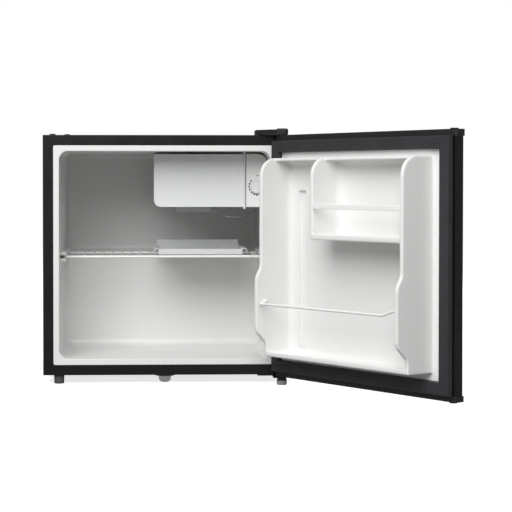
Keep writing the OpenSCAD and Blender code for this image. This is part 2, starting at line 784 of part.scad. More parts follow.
// White housing beside the freezer, open at its rear
module thermostat_housing() {
    color(white_plastic) from_front() difference() {
        along_y(flap_setback, flap_setback + thermo_d) polygon(thermo_outline(0));
        along_y(flap_setback + thermo_t, flap_setback + thermo_d + cut) polygon(thermo_outline(thermo_t));
        translate([dial_x, flap_setback + thermo_t + cut, dial_z]) rotate([90, 0, 0])
            cylinder(h = thermo_t + 2 * cut, r = shaft_r + run_gap);
    }
}

// Thermostat switch inside its housing
module thermostat_body() {
    color("#9a9c9e") from_front()
        block([dial_x - 15, flap_setback + 10, dial_z - 20], [dial_x + 13, flap_setback + 52, dial_z + 22]);
}

// Dial with a raised grip bar and its shaft
module thermostat_dial() {
    bar_proud = 1;
    color("#e4e5e4") from_front() translate([dial_x, flap_setback, dial_z]) rotate([90, 0, 0]) {
        translate([0, 0, move_gap]) cylinder(h = dial_proud - move_gap, r = dial_r);
        translate([-2, -dial_r + 2, dial_proud - cut]) cube([4, 2 * dial_r - 4, bar_proud + cut]);
        translate([0, 0, -9]) cylinder(h = 9 + 1, r = shaft_r);
    }
}

// Feeler tube from the thermostat to the bulb under the evaporator
module capillary_tube() {
    y = evap_y + evap_d - 4;
    color(copper) from_front() {
        pipe([[dial_x, flap_setback + 52.2, flap_z0 + 30], [dial_x + 4, flap_setback + thermo_d + 20, flap_z0 + 12],
              [dial_x + 8, y - 20, flap_z0 - 9], [dial_x - 6, y, flap_z0 - 20], [dial_x - 30, y + 3, flap_z0 - 26],
              [dial_x - 55, y + 2, flap_z0 - 21], [bulb_x1 - 1, bulb_y, bulb_z]], 1.2, 8);
        rod([bulb_x0, bulb_y, bulb_z], [bulb_x1, bulb_y, bulb_z], bulb_r);
    }
}
bulb_r = 3;
bulb_x0 = flap_x0 + 44;
bulb_x1 = bulb_x0 + 82;
bulb_y = evap_y + evap_d - 10;
bulb_z = evap_z0 - 11;

// Strap that holds the bulb against the evaporator's underside
module bulb_clip() {
    t = 1.2;
    color("#d8dad9") from_front() {
        block([bulb_x0 + 4, bulb_y - bulb_r - 20, evap_z0 - t - run_gap], [bulb_x1 - 4, bulb_y + 8, evap_z0 - run_gap]);
        block([bulb_x0 + 4, bulb_y - bulb_r - fit_gap - t, bulb_z - bulb_r - fit_gap - t],
              [bulb_x1 - 4, bulb_y - bulb_r - fit_gap, evap_z0 - t / 2]);
        block([bulb_x0 + 4, bulb_y - bulb_r - fit_gap - t, bulb_z - bulb_r - fit_gap - t],
              [bulb_x1 - 4, bulb_y + bulb_r, bulb_z - bulb_r - fit_gap]);
    }
}

// Coated wire shelf
module wire_shelf() {
    x = shelf_hw;
    y0 = shelf_setback;
    y1 = shelf_back_y;
    cross_z = shelf_top_z - cross_wire_r;
    pitch = 2 * x / cross_wires;
    color(white_plastic) from_front() {
        for (y = [y0, y1]) rod([-x, y, shelf_z], [x, y, shelf_z], frame_wire_r);
        for (s = [-1, 1]) {
            rod([s * x, y0, shelf_z], [s * x, y1, shelf_z], frame_wire_r);
            for (y = [y0, y1]) translate([s * x, y, shelf_z]) sphere(frame_wire_r);
        }
        for (i = [1:cross_wires - 1])
            rod([-x + i * pitch, y0, cross_z], [-x + i * pitch, y1, cross_z], cross_wire_r);
    }
}

// Drip tray: a shallow tub with a higher rear wall and down-turned side flanges
module drip_tray() {
    x0 = tray_x;
    x1 = tray_x + tray_w;
    z1 = tray_z + tray_h;
    y1 = tray_y + tray_d;
    skirt = 6;
    color("#f2f3f2") from_front() {
        along_y(tray_y, y1) union() {
            translate([x0, tray_z]) square([tray_w, tray_t]);
            translate([x0, tray_z]) square([tray_t, tray_h]);
            translate([x1 - tray_t, tray_z]) square([tray_t, tray_h]);
            translate([x0 - tray_flange, z1 - tray_t]) square([tray_flange + tray_t, tray_t]);
            translate([x1 - tray_t, z1 - tray_t]) square([tray_flange + tray_t, tray_t]);
            translate([x0 - tray_flange, z1 - skirt]) square([tray_t, skirt]);
            translate([x1 + tray_flange - tray_t, z1 - skirt]) square([tray_t, skirt]);
        }
        block([x0, tray_y, tray_z], [x1, tray_y + tray_t, z1]);
        block([x0, y1 - tray_t, tray_z], [x1, y1, tray_z + tray_back_h]);
    }
}

// ---------------------------------------------------------------- compressor compartment

// Places children at the compressor's four mounting points
module at_legs() {
    for (x = [-leg_dx, leg_dx], y = [-leg_dy, leg_dy]) translate([pot_x + x, pot_y + y, 0]) children();
}

// Base plate with a rear flange that also carries the cord gland
module compressor_base() {
    x1 = half_w - sheet_t - fit_gap;
    y1 = cab_d - 1;
    color(black_paint) from_front() difference() {
        union() {
            block([-x1, comp_front_y + fit_gap, base_z], [x1, y1, base_z + base_t]);
            block([-x1, y1 - base_t, base_z], [x1, y1, base_z + 22]);
        }
        at_legs() translate([0, 0, base_z - cut]) cylinder(h = 4, r = 3 + fit_gap);
        translate([gland_x, y1 + cut, gland_z]) rotate([90, 0, 0]) cylinder(h = 4, r = gland_r + fit_gap);
    }
}
gland_x = -half_w + 90;
gland_z = base_z + 12;
gland_r = 6;

// Rubber grommets between the compressor's legs and the base
module compressor_grommets() {
    color("#1f1f20") from_front() at_legs() difference() {
        union() {
            translate([0, 0, base_z + base_t + fit_gap / 2])
                cylinder(h = leg_z - base_z - base_t - fit_gap, r = 9);
            translate([0, 0, base_z + base_t + 1]) cylinder(h = leg_z - base_z + leg_t, r = 5.5);
            translate([0, 0, leg_z + leg_t + fit_gap / 2]) cylinder(h = 3, r = 8);
        }
        translate([0, 0, base_z]) cylinder(h = 30, r = 3 + fit_gap);
    }
}

// Bolts through the grommets
module compressor_bolts() {
    top_z = leg_z + leg_t + 3.3;
    color(steel) from_front() at_legs() {
        translate([0, 0, base_z + 0.2]) cylinder(h = top_z - base_z, r = 3);
        translate([0, 0, top_z]) cylinder(h = 1.2, r = 7);
        translate([0, 0, top_z + 1]) cylinder(h = 4, r = 5, $fn = 6);
    }
}

// Sealed compressor: welded pot on a leg plate
module compressor() {
    edge_r = 20;
    seam_z = pot_z + pot_h * 0.45;
    color(black_paint) from_front() translate([pot_x, pot_y, 0]) {
        difference() {
            translate([0, 0, leg_z]) linear_extrude(leg_t)
                round_rect(-leg_dx - 10, leg_dx + 10, -leg_dy - 10, leg_dy + 10, 9);
            for (x = [-leg_dx, leg_dx], y = [-leg_dy, leg_dy]) translate([x, y, leg_z - cut])
                cylinder(h = leg_t + 2 * cut, r = 5.5 + fit_gap);
        }
        translate([0, 0, leg_z + leg_t - 0.5]) cylinder(h = pot_z - leg_z, r = pot_r - edge_r);
        translate([0, 0, pot_z + edge_r]) cylinder(h = pot_h - 2 * edge_r, r = pot_r);
        translate([0, 0, pot_z]) cylinder(h = pot_h, r = pot_r - edge_r);
        for (z = [pot_z + edge_r, pot_z + pot_h - edge_r]) translate([0, 0, z])
            rotate_extrude() translate([pot_r - edge_r, 0]) circle(edge_r);
        translate([0, 0, seam_z]) cylinder(h = 4, r = pot_r + 2);
    }
}

// Plastic cover over the relay and the terminals, on the compressor's side
module terminal_cover() {
    t = 2;
    x1 = pot_x - pot_r + 6;
    x0 = x1 - 36;
    color(black_plastic) from_front() difference() {
        block([x0, pot_y - 24, pot_z + 74], [x1, pot_y + 24, pot_z + 118]);
        translate([pot_x, pot_y, pot_z]) cylinder(h = pot_h, r = pot_r + move_gap);
        block([x0 + t, pot_y - 24 + t, pot_z + 74 + t], [x1 + cut, pot_y + 24 - t, pot_z + 118 - t]);
    }
}

// Pressure tube from the compressor to the condenser
module discharge_tube() {
    x = pot_x + pot_r;
    z = pot_z + 100;
    color(copper) from_front()
        pipe([[x + fit_gap, pot_y, z], [x + 20, pot_y, z], [x + 24, pot_y - 16, z + 42],
              [half_w - sheet_t - tube_r / 2, pot_y - 24, z + 50]], tube_r, 8);
}

// Return tube from the evaporator to the compressor
module suction_tube() {
    x = pot_x - pot_r;
    z = pot_z + 40;
    color(copper) from_front()
        pipe([[x - fit_gap, pot_y, z], [x - 24, pot_y, z], [x - 40, pot_y - 8, z + 12], [x - 44, pot_y - 20, z + 60],
              [x - 44, pot_y - 20, comp_top_z - sheet_t - fit_gap]], tube_r + 0.5, 9);
}

// Filter drier between the condenser and the capillary
module filter_drier() {
    c = [-60, pot_y - 16, base_z + 120];
    r = 9;
    body_l = 70;
    neck = 14;
    color(copper) from_front() {
        translate(c) cylinder(h = body_l, r = r);
        translate(c - [0, 0, neck]) cylinder(h = neck, r1 = 2.5, r2 = r);
        translate(c + [0, 0, body_l]) cylinder(h = comp_top_z - sheet_t - fit_gap - c.z - body_l, r = 2);
        pipe([c - [0, 0, neck - 1], c - [0, 0, neck + 14], c + [-14, 0, -neck - 30], c + [-60, -14, -neck - 34],
              c + [-60, -14, -neck - 10], c + [-60, -24, 66], [-60 - 60, pot_y - 40, comp_top_z - sheet_t - 4]], 1.6, 5);
    }
}

// Gland where the power lead enters
module cord_gland() {
    y1 = cab_d - 1;
    color(black_plastic) from_front() translate([gland_x, y1, gland_z]) rotate([90, 0, 0]) difference() {
        union() {
            translate([0, 0, -2.2]) cylinder(h = 2.1, r = gland_r + 2.5);
            translate([0, 0, -1]) cylinder(h = base_t + 6, r = gland_r);
            translate([0, 0, base_t + fit_gap / 2]) cylinder(h = 2, r = gland_r + 2);
        }
        translate([0, 0, -10]) cylinder(h = 30, r = 3.8);
    }
}

// ---------------------------------------------------------------- door

// Steel skin: front face and two side returns, bent from one sheet
module door_skin() {
    depth = skin_box_t + 3 * skin_r;
    color(black_paint) on_door() translate([0, 0, skin_z0 + fit_gap / 2])
        linear_extrude(skin_z1 - skin_z0 - fit_gap) difference() {
            round_rect(skin_x0, skin_x1, skin_y0, skin_y0 + depth, skin_r);
            round_rect(skin_x0 + skin_t, skin_x1 - skin_t, skin_y0 + skin_t, skin_y0 + depth + 3 * skin_r,
                       skin_r - skin_t);
            translate([skin_x0 - cut, skin_y1]) square([cab_w + 2 * cut, depth]);
        }
}

// End cap: a shallow tray with bosses around the pin holes of both ends
module end_cap(z0, z1, plate_z0, plate_z1, bush_bore) {
    x0 = skin_x0 - cap_over;
    x1 = skin_x1 + cap_over;
    y0 = skin_y0 - cap_over;
    y1 = skin_y1;
    wall = 2.4;
    difference() {
        union() {
            translate([0, 0, plate_z0]) linear_extrude(plate_z1 - plate_z0) round_rect(x0, x1, y0, y1, skin_r);
            translate([0, 0, z0]) linear_extrude(z1 - z0) difference() {
                round_rect(x0, x1, y0, y1, skin_r);
                round_rect(x0 + wall, x1 - wall, y0 + wall, y1 - wall, skin_r - wall / 2);
            }
            for (x = [0, skin_x0 + skin_x1]) intersection() {
                translate([x, 0, z0]) cylinder(h = z1 - z0, r = 9);
                translate([0, 0, z0]) linear_extrude(z1 - z0) round_rect(x0, x1, y0, y1, skin_r);
            }
        }
        for (x = [0, skin_x0 + skin_x1])
            translate([x, 0, z0 - cut]) cylinder(h = z1 - z0 + 2 * cut, r = bush_bore);
    }
}
bush_r = 6;

module door_top_cap() {
    color(black_plastic) on_door() end_cap(skin_z1, door_z1, door_z1 - 3, door_z1, bush_r + run_gap);
}

module door_bottom_cap() {
    color(black_plastic) on_door() end_cap(door_z0, skin_z0, door_z0, door_z0 + 3, bush_r + run_gap);
}

// Foam inside the door
module door_foam() {
    x0 = skin_x0 + skin_t + fit_gap;
    x1 = skin_x1 - skin_t - fit_gap;
    z0 = skin_z0 + fit_gap;
    z1 = skin_z1 - fit_gap;
    color("#d9c9a0") on_door() difference() {
        translate([0, 0, z0]) linear_extrude(z1 - z0) difference() {
            round_rect(x0, x1, skin_y0 + skin_t + fit_gap, flange_y0 + 2 * skin_r, skin_r - skin_t);
            translate([x0 - cut, flange_y0 - fit_gap]) square([x1 - x0 + 2 * cut, 3 * skin_r]);
        }
        block([fin_x0 - fit_gap, well_y - fit_gap, fin_z0 - fit_gap],
              [fin_x1 + fit_gap, flange_y0 + cut, fin_z1 + fit_gap]);
    }
}

// Side outline of the fins: y away from the hinge axis, z from the floor
function fin_outline() = let (
    upper_y = gasket_reach + upper_fin,
    lower_y = gasket_reach + lower_fin,
    floor_y = gasket_reach + floor_fin,
    top_r = 26
) concat(
    [[well_y, fin_z0], [floor_y - 4, fin_z0], [floor_y, fin_z0 + 4], [floor_y, fin_z0 + 23],
     [lower_y, fin_z0 + 50], [lower_y, fin_z0 + 149], [upper_y, fin_z0 + 172]],
    arc(upper_y - top_r, fin_z1 - top_r, top_r, 0, 90),
    [[well_y, fin_z1]]);

// White inner door: flange, well, fins, bottom bay and can shelf in one moulding
module door_liner() {
    flange_x0 = gasket_x0 + 2;
    flange_x1 = gasket_x1 - 2;
    upper_y = gasket_reach + upper_fin;
    floor_y = gasket_reach + floor_fin;
    lip_t = 3;
    top_y = upper_y - 26;
    color(white_plastic) on_door() difference() {
        union() {
            difference() {
                block([flange_x0, flange_y0, gasket_z0 + 2], [flange_x1, gasket_y0 - 0.1, gasket_z1 - 2]);
                block([fin_x0 + cut, flange_y0 - cut, fin_z0 + cut], [fin_x1 - cut, gasket_y0 + cut, fin_z1 - cut]);
            }
            block([fin_x0, well_y, fin_z0], [fin_x1, well_y + panel_t, fin_z1]);
            for (x = [fin_x0, fin_x1 - fin_t]) along_x(x, x + fin_t) polygon(fin_outline());
            block([fin_x0, well_y, fin_z1 - 6], [fin_x1, top_y, fin_z1]);
            block([fin_x0, well_y, fin_z0], [fin_x1, floor_y - 4, fin_z0 + 4]);
            block([fin_x0, floor_y - lip_t, fin_z0 + 1], [fin_x1, floor_y, fin_z0 + 10]);
            intersection() {
                along_x(middle_x1 - fin_t, middle_x1) polygon(fin_outline());
                block([fin_x0, 0, can_shelf_z], [fin_x1, upper_y - 2, fin_z1]);
            }
            block([fin_x0, well_y, can_shelf_z], [middle_x1, upper_y - 2, can_shelf_z + can_shelf_t]);
            block([fin_x0, upper_y - 2 - lip_t, can_shelf_z], [middle_x1, upper_y - 2, can_shelf_z + can_lip]);
        }
        block([fin_x0 + fin_t - 3, can_bar_y - fit_gap, can_bar_z - fit_gap],
              [middle_x1 - fin_t + 3, can_bar_y + can_bar_t + fit_gap, can_bar_z + can_bar_h + fit_gap]);
        rod(rail_points[0] + [2, 0, 0], rail_points[1], rail_r + fit_gap);
        rod(rail_points[4], rail_points[5] - [2, 0, 0], rail_r + fit_gap);
    }
}

// Route of the bottle rail, from the hinge-side fin to the free-side fin
rail_points = [
    [fin_x1 - fin_t + 4, rail_y - 17, rail_z + 5],
    [fin_x1 - fin_t - 4, rail_y - 17, rail_z + 5],
    [fin_x1 - fin_t - 4, rail_y, rail_z],
    [fin_x0 + 40, rail_y, rail_z],
    [fin_x0 + fin_t + 6, rail_y, rail_z + 9],
    [fin_x0 + fin_t - 4, rail_y, rail_z + 9]
];

rail_bend = 4;

// Wire that keeps the bottles in the lower bay
module bottle_rail() {
    color(white_plastic) on_door() pipe(rail_points, rail_r, rail_bend);
}

// Flat bar that keeps the cans in, held in slots of the fins
module can_bar() {
    color(white_plastic) on_door()
        block([fin_x0 + fin_t - 3 + fit_gap, can_bar_y, can_bar_z],
              [middle_x1 - fin_t + 3 - fit_gap, can_bar_y + can_bar_t, can_bar_z + can_bar_h]);
}

// Magnetic gasket around the inner door; its hinge-side edge follows the swing, so that it clears the band
module door_gasket() {
    color("#3a3b3d") on_door() difference() {
        block([gasket_x0, gasket_y0, gasket_z0], [gasket_x1, gasket_y1, gasket_z1]);
        block([gasket_x0 + gasket_w, gasket_y0 - cut, gasket_z0 + gasket_w],
              [gasket_x1 - gasket_w, gasket_y1 + cut, gasket_z1 - gasket_w]);
        difference() {
            block([0, gasket_y0 - cut, gasket_z0 - cut], [pivot_inset, gasket_y1 + cut, gasket_z1 + cut]);
            translate([0, 0, gasket_z0 - 2 * cut])
                cylinder(h = gasket_z1 - gasket_z0 + 4 * cut, r = gasket_y1, $fn = 96);
        }
    }
}

// Plastic bushes in which the hinge pins turn
module hinge_bushes() {
    color("#d0d1d0") on_door() {
        translate([0, 0, skin_z1 + 0.5]) difference() {
            cylinder(h = top_cap_h - 0.7, r = bush_r);
            translate([0, 0, -cut]) cylinder(h = top_cap_h + 2 * cut, r = upper_pin_r + run_gap);
        }
        translate([0, 0, door_z0 + 0.2]) difference() {
            cylinder(h = bottom_cap_h - 0.7, r = bush_r);
            translate([0, 0, -cut]) cylinder(h = bottom_cap_h + 2 * cut, r = lower_pin_r + run_gap);
        }
    }
}

// Plugs in the pin holes of the door's free side
module door_pin_plugs() {
    plug_h = 1.8;
    color(black_plastic) on_door() translate([skin_x0 + skin_x1, 0, 0]) {
        translate([0, 0, door_z1 + run_gap]) cylinder(h = plug_h, r = bush_r + 1);
        translate([0, 0, skin_z1 + 4]) cylinder(h = top_cap_h - 3, r = bush_r);
        translate([0, 0, door_z0 - plug_h - run_gap]) cylinder(h = plug_h, r = bush_r + 1);
        translate([0, 0, door_z0 - 1]) cylinder(h = bottom_cap_h - 3, r = bush_r);
    }
}

// ---------------------------------------------------------------- nodes

outer_shell();
front_frame();
bottom_panel();
back_panel();
compartment_plate();
inner_liner();
foam_insulation();
condenser_coil();
upper_hinge_bracket();
upper_hinge_pin();
upper_hinge_cover();
lower_hinge_bracket();
lower_hinge_pin();
hinge_screws();
hinge_hole_plugs();
panel_screws();
glide_collar();
glide_dome();
rear_feet();
foot_socket();
right_foot_locknut();
left_foot();
right_foot();
evaporator_box();
evaporator_hangers();
freezer_frame();
freezer_flap();
thermostat_housing();
thermostat_body();
thermostat_dial();
capillary_tube();
bulb_clip();
wire_shelf();
drip_tray();
compressor_base();
compressor_grommets();
compressor_bolts();
compressor();
terminal_cover();
discharge_tube();
suction_tube();
filter_drier();
cord_gland();
door_skin();
door_top_cap();
door_bottom_cap();
door_foam();
door_liner();
door_gasket();
hinge_bushes();
door_pin_plugs();
bottle_rail();
can_bar();
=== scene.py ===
import bpy
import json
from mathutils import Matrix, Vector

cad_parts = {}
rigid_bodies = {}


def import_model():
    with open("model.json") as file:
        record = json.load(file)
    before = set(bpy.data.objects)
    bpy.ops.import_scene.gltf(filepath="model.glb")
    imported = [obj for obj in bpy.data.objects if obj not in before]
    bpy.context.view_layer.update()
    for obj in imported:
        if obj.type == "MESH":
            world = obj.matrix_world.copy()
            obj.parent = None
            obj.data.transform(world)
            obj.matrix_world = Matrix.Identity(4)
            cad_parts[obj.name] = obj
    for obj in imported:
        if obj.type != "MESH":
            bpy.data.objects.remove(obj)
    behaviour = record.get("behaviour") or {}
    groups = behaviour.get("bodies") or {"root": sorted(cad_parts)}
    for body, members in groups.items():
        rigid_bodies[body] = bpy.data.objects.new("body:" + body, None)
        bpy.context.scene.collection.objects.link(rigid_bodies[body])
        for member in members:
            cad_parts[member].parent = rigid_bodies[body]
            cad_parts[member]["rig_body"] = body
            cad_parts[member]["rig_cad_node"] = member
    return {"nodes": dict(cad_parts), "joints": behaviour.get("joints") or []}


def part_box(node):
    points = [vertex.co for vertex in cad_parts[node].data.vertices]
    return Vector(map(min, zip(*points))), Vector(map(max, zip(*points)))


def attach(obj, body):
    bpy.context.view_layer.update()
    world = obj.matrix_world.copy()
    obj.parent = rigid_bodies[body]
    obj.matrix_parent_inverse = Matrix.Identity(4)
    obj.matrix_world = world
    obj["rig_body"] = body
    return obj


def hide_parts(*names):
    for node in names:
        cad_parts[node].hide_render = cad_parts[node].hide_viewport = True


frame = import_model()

for start_object in ("Cube", "Light", "Camera"):
    if start_object in bpy.data.objects:
        bpy.data.objects.remove(bpy.data.objects[start_object])
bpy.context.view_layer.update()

import json
import math
from mathutils import Matrix, Vector

# ---------------------------------------------------------------- outer shell
# The cabinet's top and sides: one painted steel sheet, bent over the top with a small radius.
# Its black enamel is sprayed and baked, so it has a fine orange peel and a soft gloss.


class Value:
    """A number, colour or vector that varies over a surface; sums on it add maths nodes."""

    def __init__(self, finish, socket):
        self.finish = finish
        self.socket = socket

    def sum(self, operation, first, second=0.0):
        return self.finish.node("Math", {"operation": operation}, {0: first, 1: second})

    def __add__(self, other):
        return self.sum("ADD", self, other)

    def __mul__(self, other):
        return self.sum("MULTIPLY", self, other)

    __radd__ = __add__
    __rmul__ = __mul__


class Finish:
    """A surface finish: one shader, and nodes that vary it in the piece's own coordinates."""

    def __init__(self, name, **fixed):
        self.material = bpy.data.materials.new(name)
        self.material.use_nodes = True
        self.nodes = self.material.node_tree.nodes
        self.links = self.material.node_tree.links
        self.shader = self.nodes["Principled BSDF"]
        self.vary(**fixed)
        self.place = self.node("TexCoord", output="Object")

    def feed(self, node, inputs):
        for name, value in inputs.items():
            if isinstance(value, Value):
                self.links.new(value.socket, node.inputs[name])
            else:
                node.inputs[name].default_value = value

    def node(self, kind, settings=None, inputs=None, output=0):
        made = self.nodes.new("ShaderNode" + kind)
        for name, value in (settings or {}).items():
            setattr(made, name, value)
        self.feed(made, inputs or {})
        return Value(self, made.outputs[output])

    def vary(self, **inputs):
        """Feeds the shader's sockets; an underscore in a name stands for a space."""
        self.feed(self.shader, {name.replace("_", " "): value for name, value in inputs.items()})

    def noise(self, scale, detail=2.0, stretch=(1, 1, 1)):
        spot = self.node("Mapping", {}, {"Vector": self.place, "Scale": stretch})
        return self.node("TexNoise", {}, {"Vector": spot, "Scale": scale, "Detail": detail})

    def tint(self, first, second, share):
        return self.node("Mix", {"data_type": "RGBA"}, {0: share, 6: (*first, 1), 7: (*second, 1)}, 2)

    def ramp(self, value, low, high, start=0.0, end=1.0):
        return self.node("MapRange", {"interpolation_type": "SMOOTHSTEP"},
                         {"Value": value, "From Min": low, "From Max": high,
                          "To Min": start, "To Max": end})

    def bump(self, height, depth):
        self.vary(Normal=self.node("Bump", {}, {"Height": height, "Distance": depth}))


def cover_node(name, finish):
    """Gives a CAD node its finish."""
    for place in frame["nodes"][name].material_slots:
        place.material = finish.material


black_paint = Finish("black_paint", Coat_Weight=0.12, Coat_Roughness=0.16, Specular_IOR_Level=0.34)
dust = black_paint.ramp(black_paint.noise(9, 4), 0.42, 0.75)
black_paint.vary(Base_Color=black_paint.tint((0.0050, 0.0050, 0.0054), (0.0080, 0.0080, 0.0083), dust),
                 Roughness=black_paint.noise(26, 3) * 0.12 + 0.22)
black_paint.bump(black_paint.noise(620, 1), 0.00006)
cover_node("outer_shell", black_paint)

# ---------------------------------------------------------------- front band
# A steel band round the mouth, mitred and welded at its corners, with its inner edge turned back
# over the liner's lip. The mitres show as fine lines under the paint.

mm = 0.001
glide_setback = 27                       # the frame's origin lies this far behind the cabinet's front
cabinet_planes = Matrix.Translation((0, -glide_setback * mm, 0))
shell_low, shell_high = (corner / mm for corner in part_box("outer_shell"))
half_w = shell_high.x
base_z, roof_z = shell_low.z, shell_high.z
band_w = 20


def add_panel(name, low, high, turned=False):
    """A flat upright face between two corners in millimetres; it looks forwards, or back if turned."""
    bpy.ops.object.select_all(action="DESELECT")
    low, high = Vector(low) * mm, Vector(high) * mm
    bpy.ops.mesh.primitive_plane_add(size=1, location=(low + high) / 2,
                                     rotation=(math.radians(-90 if turned else 90), 0, 0))
    bpy.context.object.name = name
    bpy.context.object.scale = (high.x - low.x, high.z - low.z, 1)
    bpy.ops.object.transform_apply()
    return bpy.context.object


def pick(piece, kind, test=lambda middle, way: True):
    """Goes to edit mode and selects the faces or edges whose middle, in millimetres, and normal
    or direction pass the test."""
    if bpy.context.mode != "OBJECT":
        bpy.ops.object.mode_set(mode="OBJECT")
    bpy.ops.object.select_all(action="DESELECT")
    piece.select_set(True)
    bpy.context.view_layer.objects.active = piece
    bpy.ops.object.mode_set(mode="EDIT")
    bpy.ops.mesh.select_mode(type=kind)
    bpy.ops.mesh.select_all(action="DESELECT")
    bpy.ops.object.mode_set(mode="OBJECT")
    mesh = piece.data
    if kind == "FACE":
        for face in mesh.polygons:
            face.select = test(face.center / mm, face.normal)
    else:
        for edge in mesh.edges:
            a, b = (mesh.vertices[i].co / mm for i in edge.vertices)
            edge.select = test((a + b) / 2, b - a)
    bpy.ops.object.mode_set(mode="EDIT")


def push(move):
    """Extrudes what is selected by a move in millimetres."""
    bpy.ops.mesh.extrude_region_move(TRANSFORM_OT_translate={"value": Vector(move) * mm})


def round_off(piece, radius, steps, test=lambda middle, way: True):
    """Rounds the edges that pass the test."""
    pick(piece, "EDGE", test)
    bpy.ops.mesh.bevel(offset=radius * mm, segments=steps, affect="EDGES", clamp_overlap=True)
    bpy.ops.object.mode_set(mode="OBJECT")


def modify(piece, kind, **settings):
    """Adds a modifier and applies it."""
    if bpy.context.mode != "OBJECT":
        bpy.ops.object.mode_set(mode="OBJECT")
    bpy.ops.object.select_all(action="DESELECT")
    piece.select_set(True)
    bpy.context.view_layer.objects.active = piece
    modifier = piece.modifiers.new(kind.lower(), kind)
    for name, value in settings.items():
        setattr(modifier, name, value)
    bpy.ops.object.modifier_apply(modifier=modifier.name)


def smooth(piece, angle=35):
    """Smooth shading, except over edges sharper than the angle."""
    bpy.ops.object.select_all(action="DESELECT")
    piece.select_set(True)
    bpy.context.view_layer.objects.active = piece
    bpy.ops.object.shade_smooth_by_angle(angle=math.radians(angle))
    modify(piece, "WEIGHTED_NORMAL", keep_sharp=True)


def finish_piece(piece, finish, slot, body, *nodes, planes=cabinet_planes, angle=35):
    """Moves a piece from its own planes to the frame, and gives it its finish, body and nodes."""
    piece.data.transform(planes)
    piece.data.materials.clear()
    piece.data.materials.append(finish.material)
    smooth(piece, angle)
    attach(piece, body)
    if nodes:
        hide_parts(*nodes)
    return piece


band_in = half_w - band_w
band_z0, band_z1 = base_z + band_w, roof_z - band_w
band = add_panel("front_band", (-half_w, 0, base_z), (half_w, 0, roof_z))
pick(band, "FACE")
bpy.ops.mesh.inset(thickness=band_w * mm, use_even_offset=True)
bpy.ops.mesh.delete(type="FACE")
round_off(band, 0.3, 2, lambda p, way: abs(way.x) > 1 and abs(way.z) > 1)
pick(band, "EDGE", lambda p, way: abs(way.x) > 1 and abs(way.z) > 1
     and abs(abs(abs(p.x) - band_in - band_w / 2) + abs(abs(p.z - (base_z + roof_z) / 2)
     - (roof_z - base_z - band_w) / 2)) < 0.02)
bpy.ops.transform.translate(value=(0, 0.35 * mm, 0))
pick(band, "EDGE", lambda p, way: max(abs(p.x) - band_in, abs(p.z - (band_z0 + band_z1) / 2)
                                      - (band_z1 - band_z0) / 2) < 0.01)
push((0, 9, 0))
pick(band, "EDGE", lambda p, way: abs(abs(p.x) - half_w) < 0.01 or abs(p.z - base_z) < 0.01
     or abs(p.z - roof_z) < 0.01)
push((0, 1.2, 0))
round_off(band, 0.7, 3, lambda p, way: abs(p.y) < 0.01 and min(abs(way.x), abs(way.z)) < 0.01
          and max(abs(way.x), abs(way.z)) > 30)
modify(band, "SOLIDIFY", thickness=0.9 * mm, offset=-1)
finish_piece(band, black_paint, "black_paint", "cabinet", "front_frame")

# ---------------------------------------------------------------- inner liner
# The white inside of the cabinet: one sheet of high-impact polystyrene, vacuum-formed with generous
# corners, a step over the compressor, and two ribs on each side that carry the shelf.

white_liner = Finish("white_liner", Specular_IOR_Level=0.42, Subsurface_Weight=0.06,
                     Subsurface_Scale=0.004)
white_liner.vary(Base_Color=white_liner.tint((0.79, 0.79, 0.775), (0.83, 0.83, 0.82),
                                             white_liner.noise(5, 3)),
                 Roughness=white_liner.noise(14, 3) * 0.12 + 0.27)
white_liner.bump(white_liner.noise(430, 1), 0.00005)
lip_w = 31.5                             # band and lip together, on each side of the mouth
liner_hw = half_w - lip_w
mouth_z0, mouth_z1 = base_z + lip_w, roof_z - lip_w
mouth_r, corner_r, hump_edge_r, rim_r = 18, 14, 4, 2.2
rim_overlap = 3.2                        # how far the lip's outer edge stays inside the band
hump_y, hump_z, rear_y = 264, 240, 366


def add_block(name, low, high):
    """A block between two corners in millimetres."""
    bpy.ops.object.select_all(action="DESELECT")
    low, high = Vector(low) * mm, Vector(high) * mm
    bpy.ops.mesh.primitive_cube_add(size=1, location=(low + high) / 2, scale=high - low)
    bpy.context.object.name = name
    bpy.ops.object.transform_apply()
    return bpy.context.object


liner = add_block("inner_liner_moulding", (-liner_hw, 0, mouth_z0), (liner_hw, hump_y, mouth_z1))
pick(liner, "FACE")
bpy.ops.mesh.bisect(plane_co=(0, 0, hump_z * mm), plane_no=(0, 0, 1))
pick(liner, "FACE", lambda p, way: way.y > 0.9 and p.z > hump_z)
push((0, rear_y - hump_y, 0))
round_off(liner, mouth_r - 0.1, 7, lambda p, way: abs(way.y) > 10 and abs(abs(p.x) - liner_hw) < 0.1
          and (abs(p.z - mouth_z0) < 0.1 or abs(p.z - mouth_z1) < 0.1) and p.y < hump_y)
round_off(liner, corner_r, 5, lambda p, way: p.y > 1 and not (abs(way.y) > 10 and (
          abs(p.z - hump_z) > 60)) and not (abs(p.z - hump_z) < 1 and p.y < hump_y + 1)
          and not (abs(abs(p.x) - liner_hw) < 1 and abs(p.y - hump_y) < 1 and p.z > hump_z))
round_off(liner, hump_edge_r, 4, lambda p, way: abs(p.z - hump_z) < 0.1 and abs(p.y - hump_y) < 0.1
          and abs(way.x) > 10)
pick(liner, "FACE", lambda p, way: way.y < -0.9 and p.y < 1)
bpy.ops.mesh.delete(type="FACE")
pick(liner, "EDGE", lambda p, way: p.y < 0.01)
push((0, 0, 0))
bpy.ops.object.mode_set(mode="OBJECT")
middle_z = (mouth_z0 + mouth_z1) / 2
